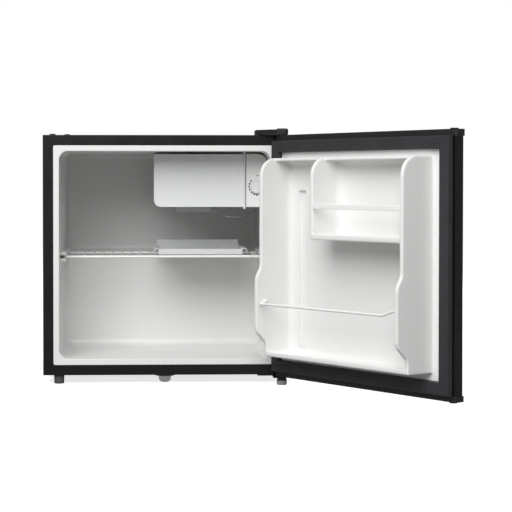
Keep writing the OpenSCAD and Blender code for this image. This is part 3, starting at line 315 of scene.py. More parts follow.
for corner in (v for v in liner.data.vertices if v.select):
    side = Vector((math.copysign(1, corner.co.x), 0, math.copysign(1, corner.co.z / mm - middle_z)))
    inner = Vector((side.x * (liner_hw - mouth_r), 0,
                    middle_z + side.z * ((mouth_z1 - mouth_z0) / 2 - mouth_r)))
    outer = Vector((side.x * (band_in - rim_overlap), 0,
                    middle_z + side.z * ((band_z1 - band_z0) / 2 - rim_overlap)))
    corner.co = (outer + (corner.co / mm - inner) * (3 / mouth_r)) * mm
round_off(liner, rim_r, 3, lambda p, way: p.y < 0.01 and abs(p.x) < liner_hw + 0.1
          and mouth_z0 - 0.1 < p.z < mouth_z1 + 0.1)
pick(liner, "FACE")
bpy.ops.mesh.normals_make_consistent(inside=False)
bpy.ops.object.mode_set(mode="OBJECT")
modify(liner, "SOLIDIFY", thickness=2 * mm, offset=1)
shelf_low, shelf_high = (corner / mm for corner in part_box("wire_shelf"))
rib_reach, rib_y0 = 10.5, 50
for rib_z0, rib_z1 in ((shelf_low.z - 6.2, shelf_low.z - 0.2), (shelf_high.z + 1, shelf_high.z + 7)):
    for side in (-1, 1):
        ends = sorted((side * (liner_hw - rib_reach), side * (liner_hw + 1)))
        rib = add_block("rib", (ends[0], rib_y0, rib_z0), (ends[1], hump_y + 1, rib_z1))
        round_off(rib, 1.6, 3, lambda p, way: abs(p.x) < liner_hw and p.y < hump_y)
        modify(liner, "BOOLEAN", operation="UNION", object=rib, solver="EXACT")
        bpy.data.objects.remove(rib)
finish_piece(liner, white_liner, "white_plastic", "cabinet", "inner_liner")

# ---------------------------------------------------------------- door
# The door hangs open on the right. Its face is a painted steel skin, bent back at both sides and
# hemmed over the foam. The door's pieces are modelled as it is shut, measured from the hinge axis, and
# then swung open: x runs to the hinge side and y towards the cabinet.

door_open = 125
hinge = next(joint for joint in frame["joints"] if joint["name"] == "door_hinge")
pivot = Vector(hinge.get("pos_m") or hinge["origin_m"])
door_planes = Matrix.Translation((pivot.x, pivot.y, 0)) @ Matrix.Rotation(math.radians(door_open), 4, "Z")
skin_x0, skin_x1 = -462, 10
skin_y0, skin_y1 = -13, 8.4
skin_z0, skin_z1 = 26, 469.2
skin_r = 2.6
skin = add_block("door_skin_sheet", (skin_x0, skin_y0, skin_z0 + 0.1), (skin_x1, skin_y1, skin_z1 - 0.1))
pick(skin, "FACE", lambda p, way: abs(way.z) > 0.9 or way.y > 0.9)
bpy.ops.mesh.delete(type="FACE")
round_off(skin, skin_r, 8, lambda p, way: abs(way.z) > 10 and p.y < 0)
modify(skin, "SOLIDIFY", thickness=0.8 * mm, offset=-1)


def join(pieces, name):
    """Joins pieces into one mesh."""
    bpy.ops.object.select_all(action="DESELECT")
    for piece in pieces:
        piece.select_set(True)
    bpy.context.view_layer.objects.active = pieces[0]
    bpy.ops.object.join()
    pieces[0].name = name
    return pieces[0]


hem_w, hem_t = 9, 0.25
hems = [add_block("hem", (x, skin_y1 - hem_t, skin_z0 + 0.1), (x + hem_w, skin_y1, skin_z1 - 0.1))
        for x in (skin_x0 + 0.1, skin_x1 - 0.1 - hem_w)]
skin = join([skin, *hems], "door_skin_sheet")
finish_piece(skin, black_paint, "black_paint", "door", "door_skin", planes=door_planes)

# ---------------------------------------------------------------- door liner
# The door's white inside: one vacuum-formed sheet with tall fins, a can shelf and a bottom bay drawn
# out of it. The sheet is soft when it is drawn, so every corner comes out rounded.

gasket_x0, gasket_x1 = -459.7, 9
gasket_y0, gasket_y1 = 11.7, 21.7
gasket_z0, gasket_z1 = 26.5, 470.5
fin_x0, fin_x1, fin_t = -414.2, -32, 8
fin_z0, fin_z1 = 62, 436
upper_y, lower_y, floor_y, well_y = 84, 96, 71, 3
middle_x1 = -173
can_shelf_z = 286.5


def add_outline(name, points, width):
    """A solid with a side outline of y and z corners, from x = 0 to the width, in millimetres."""
    bpy.ops.object.select_all(action="DESELECT")
    bpy.ops.mesh.primitive_circle_add(vertices=len(points), fill_type="NGON")
    piece = bpy.context.object
    piece.name = name
    for corner, (y, z) in zip(piece.data.vertices, points):
        corner.co = Vector((0, y, z)) * mm
    pick(piece, "FACE")
    push((width, 0, 0))
    bpy.ops.mesh.select_all(action="SELECT")
    bpy.ops.mesh.normals_make_consistent(inside=False)
    bpy.ops.object.mode_set(mode="OBJECT")
    return piece


def arc(y, z, r, start, end, steps=8):
    """Points of an arc, in degrees."""
    turns = [math.radians(start + (end - start) * i / steps) for i in range(steps + 1)]
    return [(y + r * math.cos(turn), z + r * math.sin(turn)) for turn in turns]


top_r = 34
fin_side = [(well_y, fin_z0), (floor_y - 8, fin_z0), *arc(floor_y - 8, fin_z0 + 8, 8, -90, 0, 5),
            (floor_y, fin_z0 + 20), (floor_y + 3, fin_z0 + 28), (lower_y - 3, fin_z0 + 46),
            (lower_y, fin_z0 + 54), (lower_y, fin_z0 + 145), (lower_y - 2, fin_z0 + 153),
            (upper_y + 2, fin_z0 + 166), (upper_y, fin_z0 + 174),
            *arc(upper_y - top_r, fin_z1 - top_r, top_r, 0, 90), (well_y, fin_z1)]
middle_side = [(well_y, can_shelf_z), (upper_y - 2, can_shelf_z),
               *arc(upper_y - 2 - top_r, fin_z1 - top_r, top_r, 0, 90), (well_y, fin_z1)]
panel_y = well_y + 9
groove_x0, groove_x1, groove_z1 = -84, -63, 374


def add_cove(name, start, end, first, second):
    """A round hollow fillet along a line: its two sides lie along the two given steps from it."""
    start, end, first, second = Vector(start), Vector(end), Vector(first), Vector(second)
    bpy.ops.object.select_all(action="DESELECT")
    bpy.ops.mesh.primitive_circle_add(vertices=12, fill_type="NGON")
    piece = bpy.context.object
    piece.name = name
    spots = [Vector()] + [first * (1 - math.sin(turn)) + second * (1 - math.cos(turn))
                          for turn in (math.pi / 2 * i / 10 for i in range(11))]
    for corner, spot in zip(piece.data.vertices, spots):
        corner.co = (start + spot) * mm
    pick(piece, "FACE")
    push(end - start)
    bpy.ops.mesh.select_all(action="SELECT")
    bpy.ops.mesh.normals_make_consistent(inside=False)
    bpy.ops.object.mode_set(mode="OBJECT")
    return piece


parts = []
for x, side in ((fin_x0, fin_side), (fin_x1 - fin_t, fin_side), (middle_x1 - fin_t, middle_side)):
    fin = add_outline("fin", side, fin_t)
    fin.data.transform(Matrix.Translation((x * mm, 0, 0)))
    parts.append(fin)
flange_low = Vector((gasket_x0 + 2, 8.5, gasket_z0 + 2))
flange_high = Vector((gasket_x1 - 2, 11.6, gasket_z1 - 2))
for low, high in (
        (flange_low, (fin_x0 + 3, flange_high.y, flange_high.z)),
        ((fin_x1 - 3, flange_low.y, flange_low.z), flange_high),
        (flange_low, (flange_high.x, flange_high.y, fin_z0 + 3)),
        ((flange_low.x, flange_low.y, fin_z1 - 3), flange_high),
        ((fin_x0, well_y, fin_z0), (groove_x0, panel_y, fin_z1)),
        ((groove_x1, well_y, fin_z0), (fin_x1, panel_y, fin_z1)),
        ((groove_x0, well_y, groove_z1), (groove_x1, panel_y, fin_z1)),
        ((groove_x0 - 1, well_y, fin_z0), (groove_x1 + 1, well_y + 2.4, groove_z1 + 1)),
        ((fin_x0, well_y, fin_z1 - 6), (fin_x1, upper_y - top_r, fin_z1)),
        ((fin_x0, well_y, fin_z0), (fin_x1, floor_y - 4, fin_z0 + 4)),
        ((fin_x0, floor_y - 3.4, fin_z0 + 1), (fin_x1, floor_y, fin_z0 + 10)),
        ((fin_x0, well_y, can_shelf_z), (middle_x1, upper_y - 2, can_shelf_z + 3.6)),
        ((fin_x0, upper_y - 5.6, can_shelf_z), (middle_x1, upper_y - 2, can_shelf_z + 11.5))):
    parts.append(add_block("part", low, high))
fin_in0, fin_in1, middle_in0 = fin_x0 + fin_t - 0.5, fin_x1 - fin_t + 0.5, middle_x1 - fin_t + 0.5
wall_y, shelf_top, floor_top = panel_y - 0.5, can_shelf_z + 3, fin_z0 + 3.5
ceiling_z = fin_z1 - 5
for start, end, first, second in (
        ((fin_in1, wall_y, floor_top), (fin_in1, wall_y, ceiling_z), (-10, 0, 0), (0, 12, 0)),
        ((fin_in0, wall_y, floor_top), (fin_in0, wall_y, ceiling_z), (20, 0, 0), (0, 20, 0)),
        ((middle_in0, wall_y, shelf_top), (middle_in0, wall_y, ceiling_z), (-18, 0, 0), (0, 18, 0)),
        ((middle_x1 - 0.5, wall_y, can_shelf_z), (middle_x1 - 0.5, wall_y, ceiling_z),
         (12, 0, 0), (0, 12, 0)),
        ((fin_in0, wall_y, ceiling_z), (fin_in1, wall_y, ceiling_z), (0, 24, 0), (0, 0, -16)),
        ((fin_in0, wall_y, floor_top), (fin_in1, wall_y, floor_top), (0, 16, 0), (0, 0, 16)),
        ((fin_in0, wall_y, shelf_top), (middle_in0, wall_y, shelf_top), (0, 8, 0), (0, 0, 8)),
        ((middle_in0, wall_y, shelf_top), (middle_in0, upper_y - 2.5, shelf_top), (-7, 0, 0), (0, 0, 9)),
        ((fin_in0, wall_y, shelf_top), (fin_in0, upper_y - 2.5, shelf_top), (7, 0, 0), (0, 0, 9)),
        ((fin_in0, wall_y, can_shelf_z + 0.5), (fin_in0, upper_y - 2.5, can_shelf_z + 0.5),
         (9, 0, 0), (0, 0, -9)),
        ((fin_in1, wall_y, floor_top), (fin_in1, floor_y - 0.5, floor_top), (-9, 0, 0), (0, 0, 9)),
        ((fin_in0, wall_y, floor_top), (fin_in0, floor_y - 0.5, floor_top), (9, 0, 0), (0, 0, 9))):
    parts.append(add_cove("cove", start, end, first, second))
door_liner = join(parts, "door_liner_moulding")
modify(door_liner, "REMESH", mode="VOXEL", voxel_size=1.5 * mm)
modify(door_liner, "SMOOTH", factor=0.5, iterations=12)
modify(door_liner, "DECIMATE", ratio=0.25)
door_white = Finish("door_white", Specular_IOR_Level=0.42, Subsurface_Weight=0.06, Subsurface_Scale=0.004)
door_white.vary(Base_Color=door_white.tint((0.80, 0.80, 0.785), (0.84, 0.84, 0.83), door_white.noise(6, 3)),
                Roughness=door_white.noise(17, 3) * 0.12 + 0.27)
door_white.bump(door_white.noise(430, 1), 0.00005)
finish_piece(door_liner, door_white, "white_plastic", "door", "door_liner", planes=door_planes, angle=60)

# ---------------------------------------------------------------- door gasket
# The magnetic seal: a dark vinyl extrusion with a magnet in its bellows, welded at mitred corners
# and pressed into the door all round. Its face has a long groove on each side of the magnet.

gasket_profile = ((0.5, 7.2), (1.0, 1.9), (2.0, 0.7), (3.6, 0.1), (1.2, -0.5), (1.2, 0.5), (2.6, 0.1),
                  (2.6, -0.1), (1.2, -0.5), (1.2, 0.5), (4.6, 0.0), (0.9, -0.6), (0.3, -4.5), (0.5, -4.1))
gasket = add_panel("gasket_strip", (gasket_x0, gasket_y0, gasket_z0), (gasket_x1, gasket_y0, gasket_z1), True)
pick(gasket, "FACE")
for across, up in gasket_profile:
    bpy.ops.mesh.inset(thickness=across * mm, depth=up * mm, use_even_offset=True)
bpy.ops.mesh.delete(type="FACE")
pick(gasket, "EDGE", lambda p, way: p.y < gasket_y0 + 0.3)
bpy.ops.mesh.bridge_edge_loops()
pick(gasket, "FACE")
bpy.ops.mesh.normals_make_consistent(inside=False)
bpy.ops.object.mode_set(mode="OBJECT")
for vertex in gasket.data.vertices:
    if vertex.co.x > 0:
        reach = (gasket_y1 * mm) ** 2 - vertex.co.x ** 2
        vertex.co.y = min(vertex.co.y, math.sqrt(reach))
gasket_vinyl = Finish("gasket_vinyl", Specular_IOR_Level=0.35)
gasket_vinyl.vary(Base_Color=gasket_vinyl.tint((0.022, 0.023, 0.025), (0.036, 0.037, 0.040),
                                               gasket_vinyl.noise(18, 4)),
                  Roughness=gasket_vinyl.noise(60, 3) * 0.2 + 0.42)
gasket_vinyl.bump(gasket_vinyl.noise(900, 2), 0.00008)
finish_piece(gasket, gasket_vinyl, "gasket_vinyl", "door", "door_gasket", planes=door_planes, angle=25)

# ---------------------------------------------------------------- door end caps
# Black moulded trays that close the skin at the top and bottom and stand a little proud of it.
# Each has a boss round the hole for the hinge pin at both ends, so the door can be hung either way.

black_plastic = Finish("black_plastic", Specular_IOR_Level=0.4)
black_plastic.vary(Base_Color=black_plastic.tint((0.010, 0.010, 0.011), (0.018, 0.018, 0.019),
                                                 black_plastic.noise(14, 4)),
                   Roughness=black_plastic.noise(40, 3) * 0.16 + 0.34)
black_plastic.bump(black_plastic.noise(1300, 2), 0.00007)


def refine(node, name, width=0.4, steps=2, angle=30):
    """A copy of a CAD node with its triangles merged and its sharp edges rounded."""
    piece = frame["nodes"][node].copy()
    piece.data = piece.data.copy()
    piece.name = name
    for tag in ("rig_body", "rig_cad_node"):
        del piece[tag]
    piece.parent = None
    bpy.context.scene.collection.objects.link(piece)
    pick(piece, "FACE")
    bpy.ops.mesh.remove_doubles(threshold=0.00001)
    bpy.ops.mesh.dissolve_limited(angle_limit=math.radians(0.8))
    modify(piece, "BEVEL", width=width * mm, segments=steps, limit_method="ANGLE",
           angle_limit=math.radians(angle), use_clamp_overlap=True, miter_outer="MITER_ARC")
    return piece


still = Matrix.Identity(4)


def refine_all(finish, slot, body, width, *nodes):
    for node in nodes:
        finish_piece(refine(node, node + "_piece", width), finish, slot, body, node, planes=still)


refine_all(black_plastic, "black_plastic", "door", 0.6, "door_top_cap", "door_bottom_cap", "door_pin_plugs")

# ---------------------------------------------------------------- hinge bushes
# Nylon sleeves pressed into the end caps; the pins turn in them.

nylon = Finish("nylon", Specular_IOR_Level=0.4)
nylon.vary(Base_Color=nylon.tint((0.55, 0.55, 0.53), (0.62, 0.62, 0.60), nylon.noise(120)),
           Roughness=nylon.noise(300) * 0.15 + 0.35)
refine_all(nylon, "white_plastic", "door", 0.3, "hinge_bushes")

# ---------------------------------------------------------------- bottle rail
# A steel wire dipped in white plastic, bent once at each end and sprung into sockets in the fins.

wire_white = Finish("wire_white", Specular_IOR_Level=0.5, Coat_Weight=0.25, Coat_Roughness=0.12)
wire_white.vary(Base_Color=wire_white.tint((0.85, 0.85, 0.84), (0.91, 0.91, 0.90), wire_white.noise(45, 3)),
                Roughness=wire_white.noise(90, 2) * 0.15 + 0.24)
wire_white.bump(wire_white.noise(700, 2), 0.00005)


def round_route(points, bend, steps=6):
    """A route's points, in millimetres, with each corner turned into a round bend."""
    points = [Vector(point) for point in points]
    route = [points[0]]
    for before, corner, after in zip(points, points[1:], points[2:]):
        u, v = (corner - before).normalized(), (after - corner).normalized()
        turn = u.angle(v)
        side = (v - u * u.dot(v)).normalized()
        centre = corner - u * bend * math.tan(turn / 2) + side * bend
        route += [centre - side * bend * math.cos(turn * i / steps) + u * bend * math.sin(turn * i / steps)
                  for i in range(steps + 1)]
    return route + [points[-1]]


def add_wire(name, points, radius, bend=4, closed=False):
    """A round wire along a route, in millimetres."""
    bpy.ops.object.select_all(action="DESELECT")
    bpy.ops.curve.primitive_nurbs_path_add()
    wire = bpy.context.object
    wire.name = name
    route = round_route(points, bend)
    if closed:
        route = route[1:-1]
    wire.data.splines.clear()
    line = wire.data.splines.new("POLY")
    line.points.add(len(route) - 1)
    for place, point in zip(line.points, route):
        place.co = (*(point * mm), 1)
    line.use_cyclic_u = closed
    wire.data.bevel_depth = radius * mm
    wire.data.bevel_resolution = 4
    wire.data.use_fill_caps = not closed
    bpy.ops.object.convert(target="MESH")
    wire = bpy.context.object
    pick(wire, "FACE")
    bpy.ops.mesh.select_all(action="SELECT")
    bpy.ops.mesh.remove_doubles(threshold=0.00001)
    bpy.ops.mesh.normals_make_consistent(inside=False)
    bpy.ops.object.mode_set(mode="OBJECT")
    return wire


rail_y, rail_z = 92, 163
rail = add_wire("bottle_rail_wire", ((fin_x1 - fin_t + 2, rail_y - 17, rail_z + 5),
                                     (fin_x1 - fin_t - 4, rail_y - 17, rail_z + 5),
                                     (fin_x1 - fin_t - 4, rail_y, rail_z), (fin_x0 + 40, rail_y, rail_z),
                                     (fin_x0 + fin_t + 6, rail_y, rail_z + 9),
                                     (fin_x0 + fin_t - 4, rail_y, rail_z + 9)), 2.5)
finish_piece(rail, wire_white, "white_wire", "door", "bottle_rail", planes=door_planes)

# ---------------------------------------------------------------- can bar
# A flat white plastic bar that keeps the cans in; its ends are pushed into slots of the fins.

bar = add_block("can_bar_strip", (fin_x0 + fin_t - 2.8, 79, 342), (middle_x1 - fin_t + 2.8, 81, 351))
round_off(bar, 0.8, 3)
finish_piece(bar, wire_white, "white_plastic", "door", "can_bar", planes=door_planes)

# ---------------------------------------------------------------- wire shelf
# A frame of thick wire with thinner wires welded across it, all dipped in white plastic. It rests on
# the lower rib of each side wall and slides out between the ribs.

shelf_z = (shelf_low.z + shelf_high.z) / 2
shelf_hw = shelf_high.x - 2.5
shelf_y0, shelf_y1 = shelf_low.y + 2.5 + glide_setback, shelf_high.y - 2.5 + glide_setback
spaces = 21
corners = ((0, shelf_y0), (shelf_hw, shelf_y0), (shelf_hw, shelf_y1), (-shelf_hw, shelf_y1),
           (-shelf_hw, shelf_y0), (0, shelf_y0))
wires = [add_wire("shelf_frame", [(x, y, shelf_z) for x, y in corners], 2.5, 3, True)]
cross_z = shelf_high.z - 1.4
cross = add_wire("cross_wire", [(0, shelf_y0, cross_z), (0, (shelf_y0 + shelf_y1) / 2, cross_z - 0.05),
                                (0, shelf_y1, cross_z)], 1.4, 4)
for i in range(1, spaces):
    wire = cross.copy()
    wire.data = cross.data.copy()
    wire.data.transform(Matrix.Translation(((2 * i / spaces - 1) * shelf_hw * mm, 0, 0)))
    bpy.context.scene.collection.objects.link(wire)
    wires.append(wire)
bpy.data.objects.remove(cross)
shelf = join(wires, "wire_shelf_welded")
finish_piece(shelf, wire_white, "white_wire", "shelf", "wire_shelf")

# ---------------------------------------------------------------- drip tray
# A thin tray vacuum-formed from white plastic, with a higher rear wall and side flanges whose edges
# turn down over the shelf's wires. It catches the water when the freezer is thawed.

tray_low, tray_high = (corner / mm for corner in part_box("drip_tray"))
tray_x0, tray_x1 = tray_low.x + 7, tray_high.x - 7
tray_y0, tray_y1 = tray_low.y + glide_setback, tray_high.y + glide_setback
tray_z, tray_rim, tray_back = tray_low.z, tray_low.z + 12, tray_high.z
tray = add_block("drip_tray_formed", (tray_x0, tray_y0, tray_z), (tray_x1, tray_y1, tray_rim))
pick(tray, "FACE", lambda p, way: way.z > 0.9)
bpy.ops.mesh.delete(type="FACE")
pick(tray, "EDGE", lambda p, way: p.y > tray_y1 - 0.1 and p.z > tray_rim - 0.1)
push((0, 0, tray_back - tray_rim))
for side, x in ((-1, tray_x0), (1, tray_x1)):
    pick(tray, "EDGE", lambda p, way: abs(p.x - x) < 0.1 and abs(p.z - tray_rim) < 0.1)
    push((side * 6.9, 0, 0))
    push((0, 0, -5.5))
round_off(tray, 3.2, 4, lambda p, way: p.z < tray_rim - 1 and abs(way.z) < 1
          or abs(way.z) > 8 and p.z < tray_rim)
round_off(tray, 1.8, 3, lambda p, way: abs(way.y) > 20 and abs(p.z - tray_rim) < 0.1)
pick(tray, "FACE")
bpy.ops.mesh.normals_make_consistent(inside=False)
modify(tray, "SOLIDIFY", thickness=1.3 * mm, offset=-1)
round_off(tray, 0.4, 2, lambda p, way: p.z > tray_back - 0.1)
tray_plastic = Finish("tray_plastic", Specular_IOR_Level=0.5, Transmission_Weight=0.25, IOR=1.45)
tray_plastic.vary(Base_Color=tray_plastic.tint((0.80, 0.81, 0.81), (0.86, 0.87, 0.87),
                                               tray_plastic.noise(12, 3)),
                  Roughness=tray_plastic.noise(30, 2) * 0.15 + 0.22)
tray_plastic.bump(tray_plastic.noise(260, 2), 0.00008)
finish_piece(tray, tray_plastic, "tray_plastic", "tray", "drip_tray")

# ---------------------------------------------------------------- freezer flap
# A moulded flap of cloudy white plastic over the cold box, with a thin bead round its edge. It turns
# on two pins at its right edge.

flap_low, flap_high = (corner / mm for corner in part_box("freezer_flap"))
flap_x0, flap_x1 = flap_low.x, flap_high.x
flap_y0, flap_y1 = flap_low.y + glide_setback, flap_high.y + glide_setback
flap_z1, flap_z0 = flap_high.z - 2.6, flap_low.z + 2.6
flap_axis = Vector((flap_x1 - 3, flap_y0 + 3, 0))
flap = add_block("freezer_flap_moulded", (flap_x0, flap_y0 + 1, flap_z0), (flap_x1 - 3, flap_y1, flap_z1))
round_off(flap, 13.9, 10, lambda p, way: abs(way.y) > 3 and p.x < flap_x0 + 1 and p.z < flap_z0 + 1)
round_off(flap, 4, 5, lambda p, way: abs(way.y) > 3 and p.x < flap_x0 + 1 and p.z > flap_z1 - 1)
pick(flap, "FACE", lambda p, way: way.y < -0.9)
for across, up in ((0.5, 0.8), (1.3, 0.1), (0.5, -1.1), (0.9, 0.5)):
    bpy.ops.mesh.inset(thickness=across * mm, depth=up * mm, use_even_offset=True)
bpy.ops.object.mode_set(mode="OBJECT")
round_off(flap, 0.5, 2, lambda p, way: p.y > flap_y1 - 0.1 and p.x < flap_x1 - 4)


def add_rod(name, low, high, radius, sides=32):
    """A round bar between two points of one axis, in millimetres."""
    bpy.ops.object.select_all(action="DESELECT")
    low, high = Vector(low) * mm, Vector(high) * mm
    way = high - low
    bpy.ops.mesh.primitive_cylinder_add(vertices=sides, radius=radius * mm, depth=way.length,
                                        location=(low + high) / 2,
                                        rotation=way.to_track_quat("Z", "Y").to_euler())
    bpy.context.object.name = name
    bpy.ops.object.transform_apply()
    return bpy.context.object


barrel_r, pin_r, pin_reach = 2.2, 1.5, 2.5
for name, radius, reach in (("barrel", barrel_r, 0), ("pin", pin_r, pin_reach)):
    rod = add_rod(name, flap_axis + Vector((0, 0, flap_z0 - reach)),
                  flap_axis + Vector((0, 0, flap_z1 + reach)), radius)
    modify(flap, "BOOLEAN", operation="UNION", object=rod, solver="EXACT")
    bpy.data.objects.remove(rod)
flap_plastic = Finish("flap_plastic", Specular_IOR_Level=0.5, Subsurface_Weight=0.12, Subsurface_Scale=0.006)
flap_plastic.vary(Base_Color=flap_plastic.tint((0.74, 0.75, 0.75), (0.80, 0.81, 0.81),
                                               flap_plastic.noise(11, 3)),
                  Roughness=flap_plastic.noise(24, 2) * 0.14 + 0.3)
flap_plastic.bump(flap_plastic.noise(380, 2), 0.00006)
finish_piece(flap, flap_plastic, "flap_plastic", "flap", "freezer_flap")

# ---------------------------------------------------------------- thermostat housing
# A white moulded cover beside the cold box, open at its rear and clipped to the liner. The dial's
# steps are printed on its front as an arc of short marks.

dial_low, dial_high = (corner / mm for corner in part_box("thermostat_dial"))
dial = Vector(((dial_low.x + dial_high.x) / 2, 0, (dial_low.z + dial_high.z) / 2))
housing = refine("thermostat_housing", "thermostat_housing_moulded", 0.9, 3, 50)
finish_piece(housing, white_liner, "white_plastic", "cabinet", "thermostat_housing", planes=still)
marks = []
housing_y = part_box("thermostat_housing")[0].y / mm + glide_setback
for turn in (38, 17, -2, -22, -44, -64, -83):
    mark = add_block("mark", (-18.2, housing_y - 0.12, -1.9), (-15.7, housing_y + 0.3, 1.9))
    round_off(mark, 0.4, 3, lambda p, way: abs(way.y) > 0.3)
    mark.data.transform(Matrix.Translation(dial * mm) @ Matrix.Rotation(math.radians(turn), 4, "Y"))
    marks.append(mark)
pointer = add_block("pointer", (dial.x - 3, housing_y - 0.12, dial.z + 20.5),
                    (dial.x + 3, housing_y + 0.3, dial.z + 21.7))
round_off(pointer, 0.1, 1)
marks.append(pointer)
print_black = Finish("print_black", Specular_IOR_Level=0.3)
print_black.vary(Base_Color=print_black.tint((0.003, 0.003, 0.003), (0.008, 0.008, 0.008),
                                             print_black.noise(800, 2)),
                 Roughness=print_black.noise(500) * 0.2 + 0.45)
finish_piece(join(marks, "dial_marks"), print_black, "black_plastic", "cabinet")

# ---------------------------------------------------------------- thermostat dial
# A pale moulded knob with a fluted rim and a raised bar to grip, pushed onto the switch's shaft.

dial_y0, dial_y1 = dial_low.y + glide_setback, housing_y - 0.3
dial_r = 14
knob = add_rod("thermostat_knob", (dial.x, dial_y1, dial.z), (dial.x, dial_y0 + 1, dial.z), dial_r, 96)
pick(knob, "FACE", lambda p, way: abs(way.y) < 0.5 and int(round(math.degrees(math.atan2(
    p.z - dial.z, p.x - dial.x)) / 3.75 - 0.5)) % 4 == 0)
bpy.ops.transform.resize(value=(0.968, 1, 0.968), center_override=dial * mm)
bpy.ops.object.mode_set(mode="OBJECT")
pick(knob, "FACE", lambda p, way: way.y < -0.9)
for across, up in ((0.9, 0.0), (0.7, -0.5)):
    bpy.ops.mesh.inset(thickness=across * mm, depth=up * mm, use_even_offset=True)
bpy.ops.object.mode_set(mode="OBJECT")
grip = add_block("grip", (dial.x - 2.2, dial_y0, dial.z - 12), (dial.x + 2.2, dial_y1 - 2, dial.z + 12))
round_off(grip, 0.9, 3, lambda p, way: p.y < dial_y1 - 3)
shaft = add_rod("shaft", (dial.x, dial_y1 - 1, dial.z), (dial.x, housing_y + 9, dial.z), 3)
for part in (grip, shaft):
    modify(knob, "BOOLEAN", operation="UNION", object=part, solver="EXACT")
    bpy.data.objects.remove(part)
knob_plastic = Finish("knob_plastic", Specular_IOR_Level=0.45)
knob_plastic.vary(Base_Color=knob_plastic.tint((0.70, 0.71, 0.71), (0.77, 0.77, 0.77),
                                               knob_plastic.noise(60, 3)),
                  Roughness=knob_plastic.noise(150, 2) * 0.15 + 0.28)
knob_plastic.bump(knob_plastic.noise(1100, 1), 0.00003)
finish_piece(knob, knob_plastic, "white_plastic", "dial", "thermostat_dial")

# ---------------------------------------------------------------- cold box
# The evaporator: two aluminium sheets roll-bonded with channels between them and folded to a box,
# hung from the ceiling on white spacers, with a white plastic frame on its mouth.

aluminium = Finish("aluminium", Metallic=1.0)
rows = aluminium.node("TexWave", {"wave_type": "BANDS", "bands_direction": "Y", "wave_profile": "SIN"},
                      {"Vector": aluminium.place, "Scale": 12.0, "Distortion": 1.2, "Detail": 1.0}, 1)
aluminium.vary(Base_Color=aluminium.tint((0.52, 0.53, 0.54), (0.66, 0.67, 0.68), aluminium.noise(20, 4)),
               Roughness=aluminium.noise(120, 3) * 0.2 + 0.38)
aluminium.bump(aluminium.ramp(rows, 0.72, 0.92) + aluminium.noise(500, 2) * 0.04, 0.0016)
refine_all(aluminium, "aluminium_sheet", "cabinet", 0.6, "evaporator_box")
refine_all(white_liner, "white_plastic", "cabinet", 0.6, "evaporator_hangers", "freezer_frame")

# ---------------------------------------------------------------- thermostat switch and feeler
# The switch is a plated steel box behind the dial. Its capillary runs in loose bends to a bulb that
# a strap holds against the underside of the cold box.

copper = Finish("copper", Metallic=1.0)
copper.vary(Base_Color=copper.tint((0.50, 0.21, 0.11), (0.72, 0.36, 0.22), copper.noise(60, 4)),
            Roughness=copper.noise(140, 3) * 0.25 + 0.24)
copper.bump(copper.noise(900, 2), 0.00005)
zinc = Finish("zinc", Metallic=1.0)
zinc.vary(Base_Color=zinc.tint((0.50, 0.51, 0.53), (0.68, 0.69, 0.71), zinc.noise(130, 4)),
          Roughness=zinc.noise(260, 3) * 0.22 + 0.26)
zinc.bump(zinc.noise(1500, 2), 0.00003)
refine_all(zinc, "zinc_steel", "cabinet", 0.5, "thermostat_body", "bulb_clip")
refine_all(zinc, "zinc_steel", "cabinet", 0.05, "capillary_tube")

# ---------------------------------------------------------------- upper hinge
# A zinc-plated plate screwed to the roof carries the pin; a black moulded cover snaps over both,
# with a low round boss above the pin. Plugs fill the same holes on the other side.

refine_all(zinc, "zinc_steel", "cabinet", 0.35, "upper_hinge_bracket", "upper_hinge_pin", "lower_hinge_pin",
           "hinge_screws", "panel_screws")
refine_all(black_plastic, "black_plastic", "cabinet", 0.9, "upper_hinge_cover", "hinge_hole_plugs")

# ---------------------------------------------------------------- lower hinge and feet
# A joggled plate under the cabinet carries the lower pin. A levelling foot turns on the pin's end,
# another on a stud at the left, and a domed glide stands in a collar at the middle of the front.

refine_all(black_paint, "black_paint", "cabinet", 0.4, "lower_hinge_bracket")
collar_low, collar_high = (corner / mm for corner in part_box("glide_collar"))
collar_r = collar_high.x


def add_turned(name, outline, centre, sides=64):
    """A turned part: an outline of radii and heights spun round an upright axis, in millimetres."""
    bpy.ops.object.select_all(action="DESELECT")
    bpy.ops.mesh.primitive_circle_add(vertices=len(outline), fill_type="NOTHING")
    piece = bpy.context.object
    piece.name = name
    for corner, (radius, z) in zip(piece.data.vertices, outline):
        corner.co = Vector((centre[0] + radius, centre[1], z)) * mm
    pick(piece, "EDGE")
    bpy.ops.mesh.select_all(action="SELECT")
    bpy.ops.mesh.spin(steps=sides, angle=2 * math.pi, center=(centre[0] * mm, centre[1] * mm, 0),
                      axis=(0, 0, 1))
    bpy.ops.mesh.select_all(action="SELECT")
    bpy.ops.mesh.remove_doubles(threshold=0.00002)
    bpy.ops.mesh.dissolve_degenerate(threshold=0.00001)
    bpy.ops.mesh.normals_make_consistent(inside=False)
    bpy.ops.object.mode_set(mode="OBJECT")
    return piece


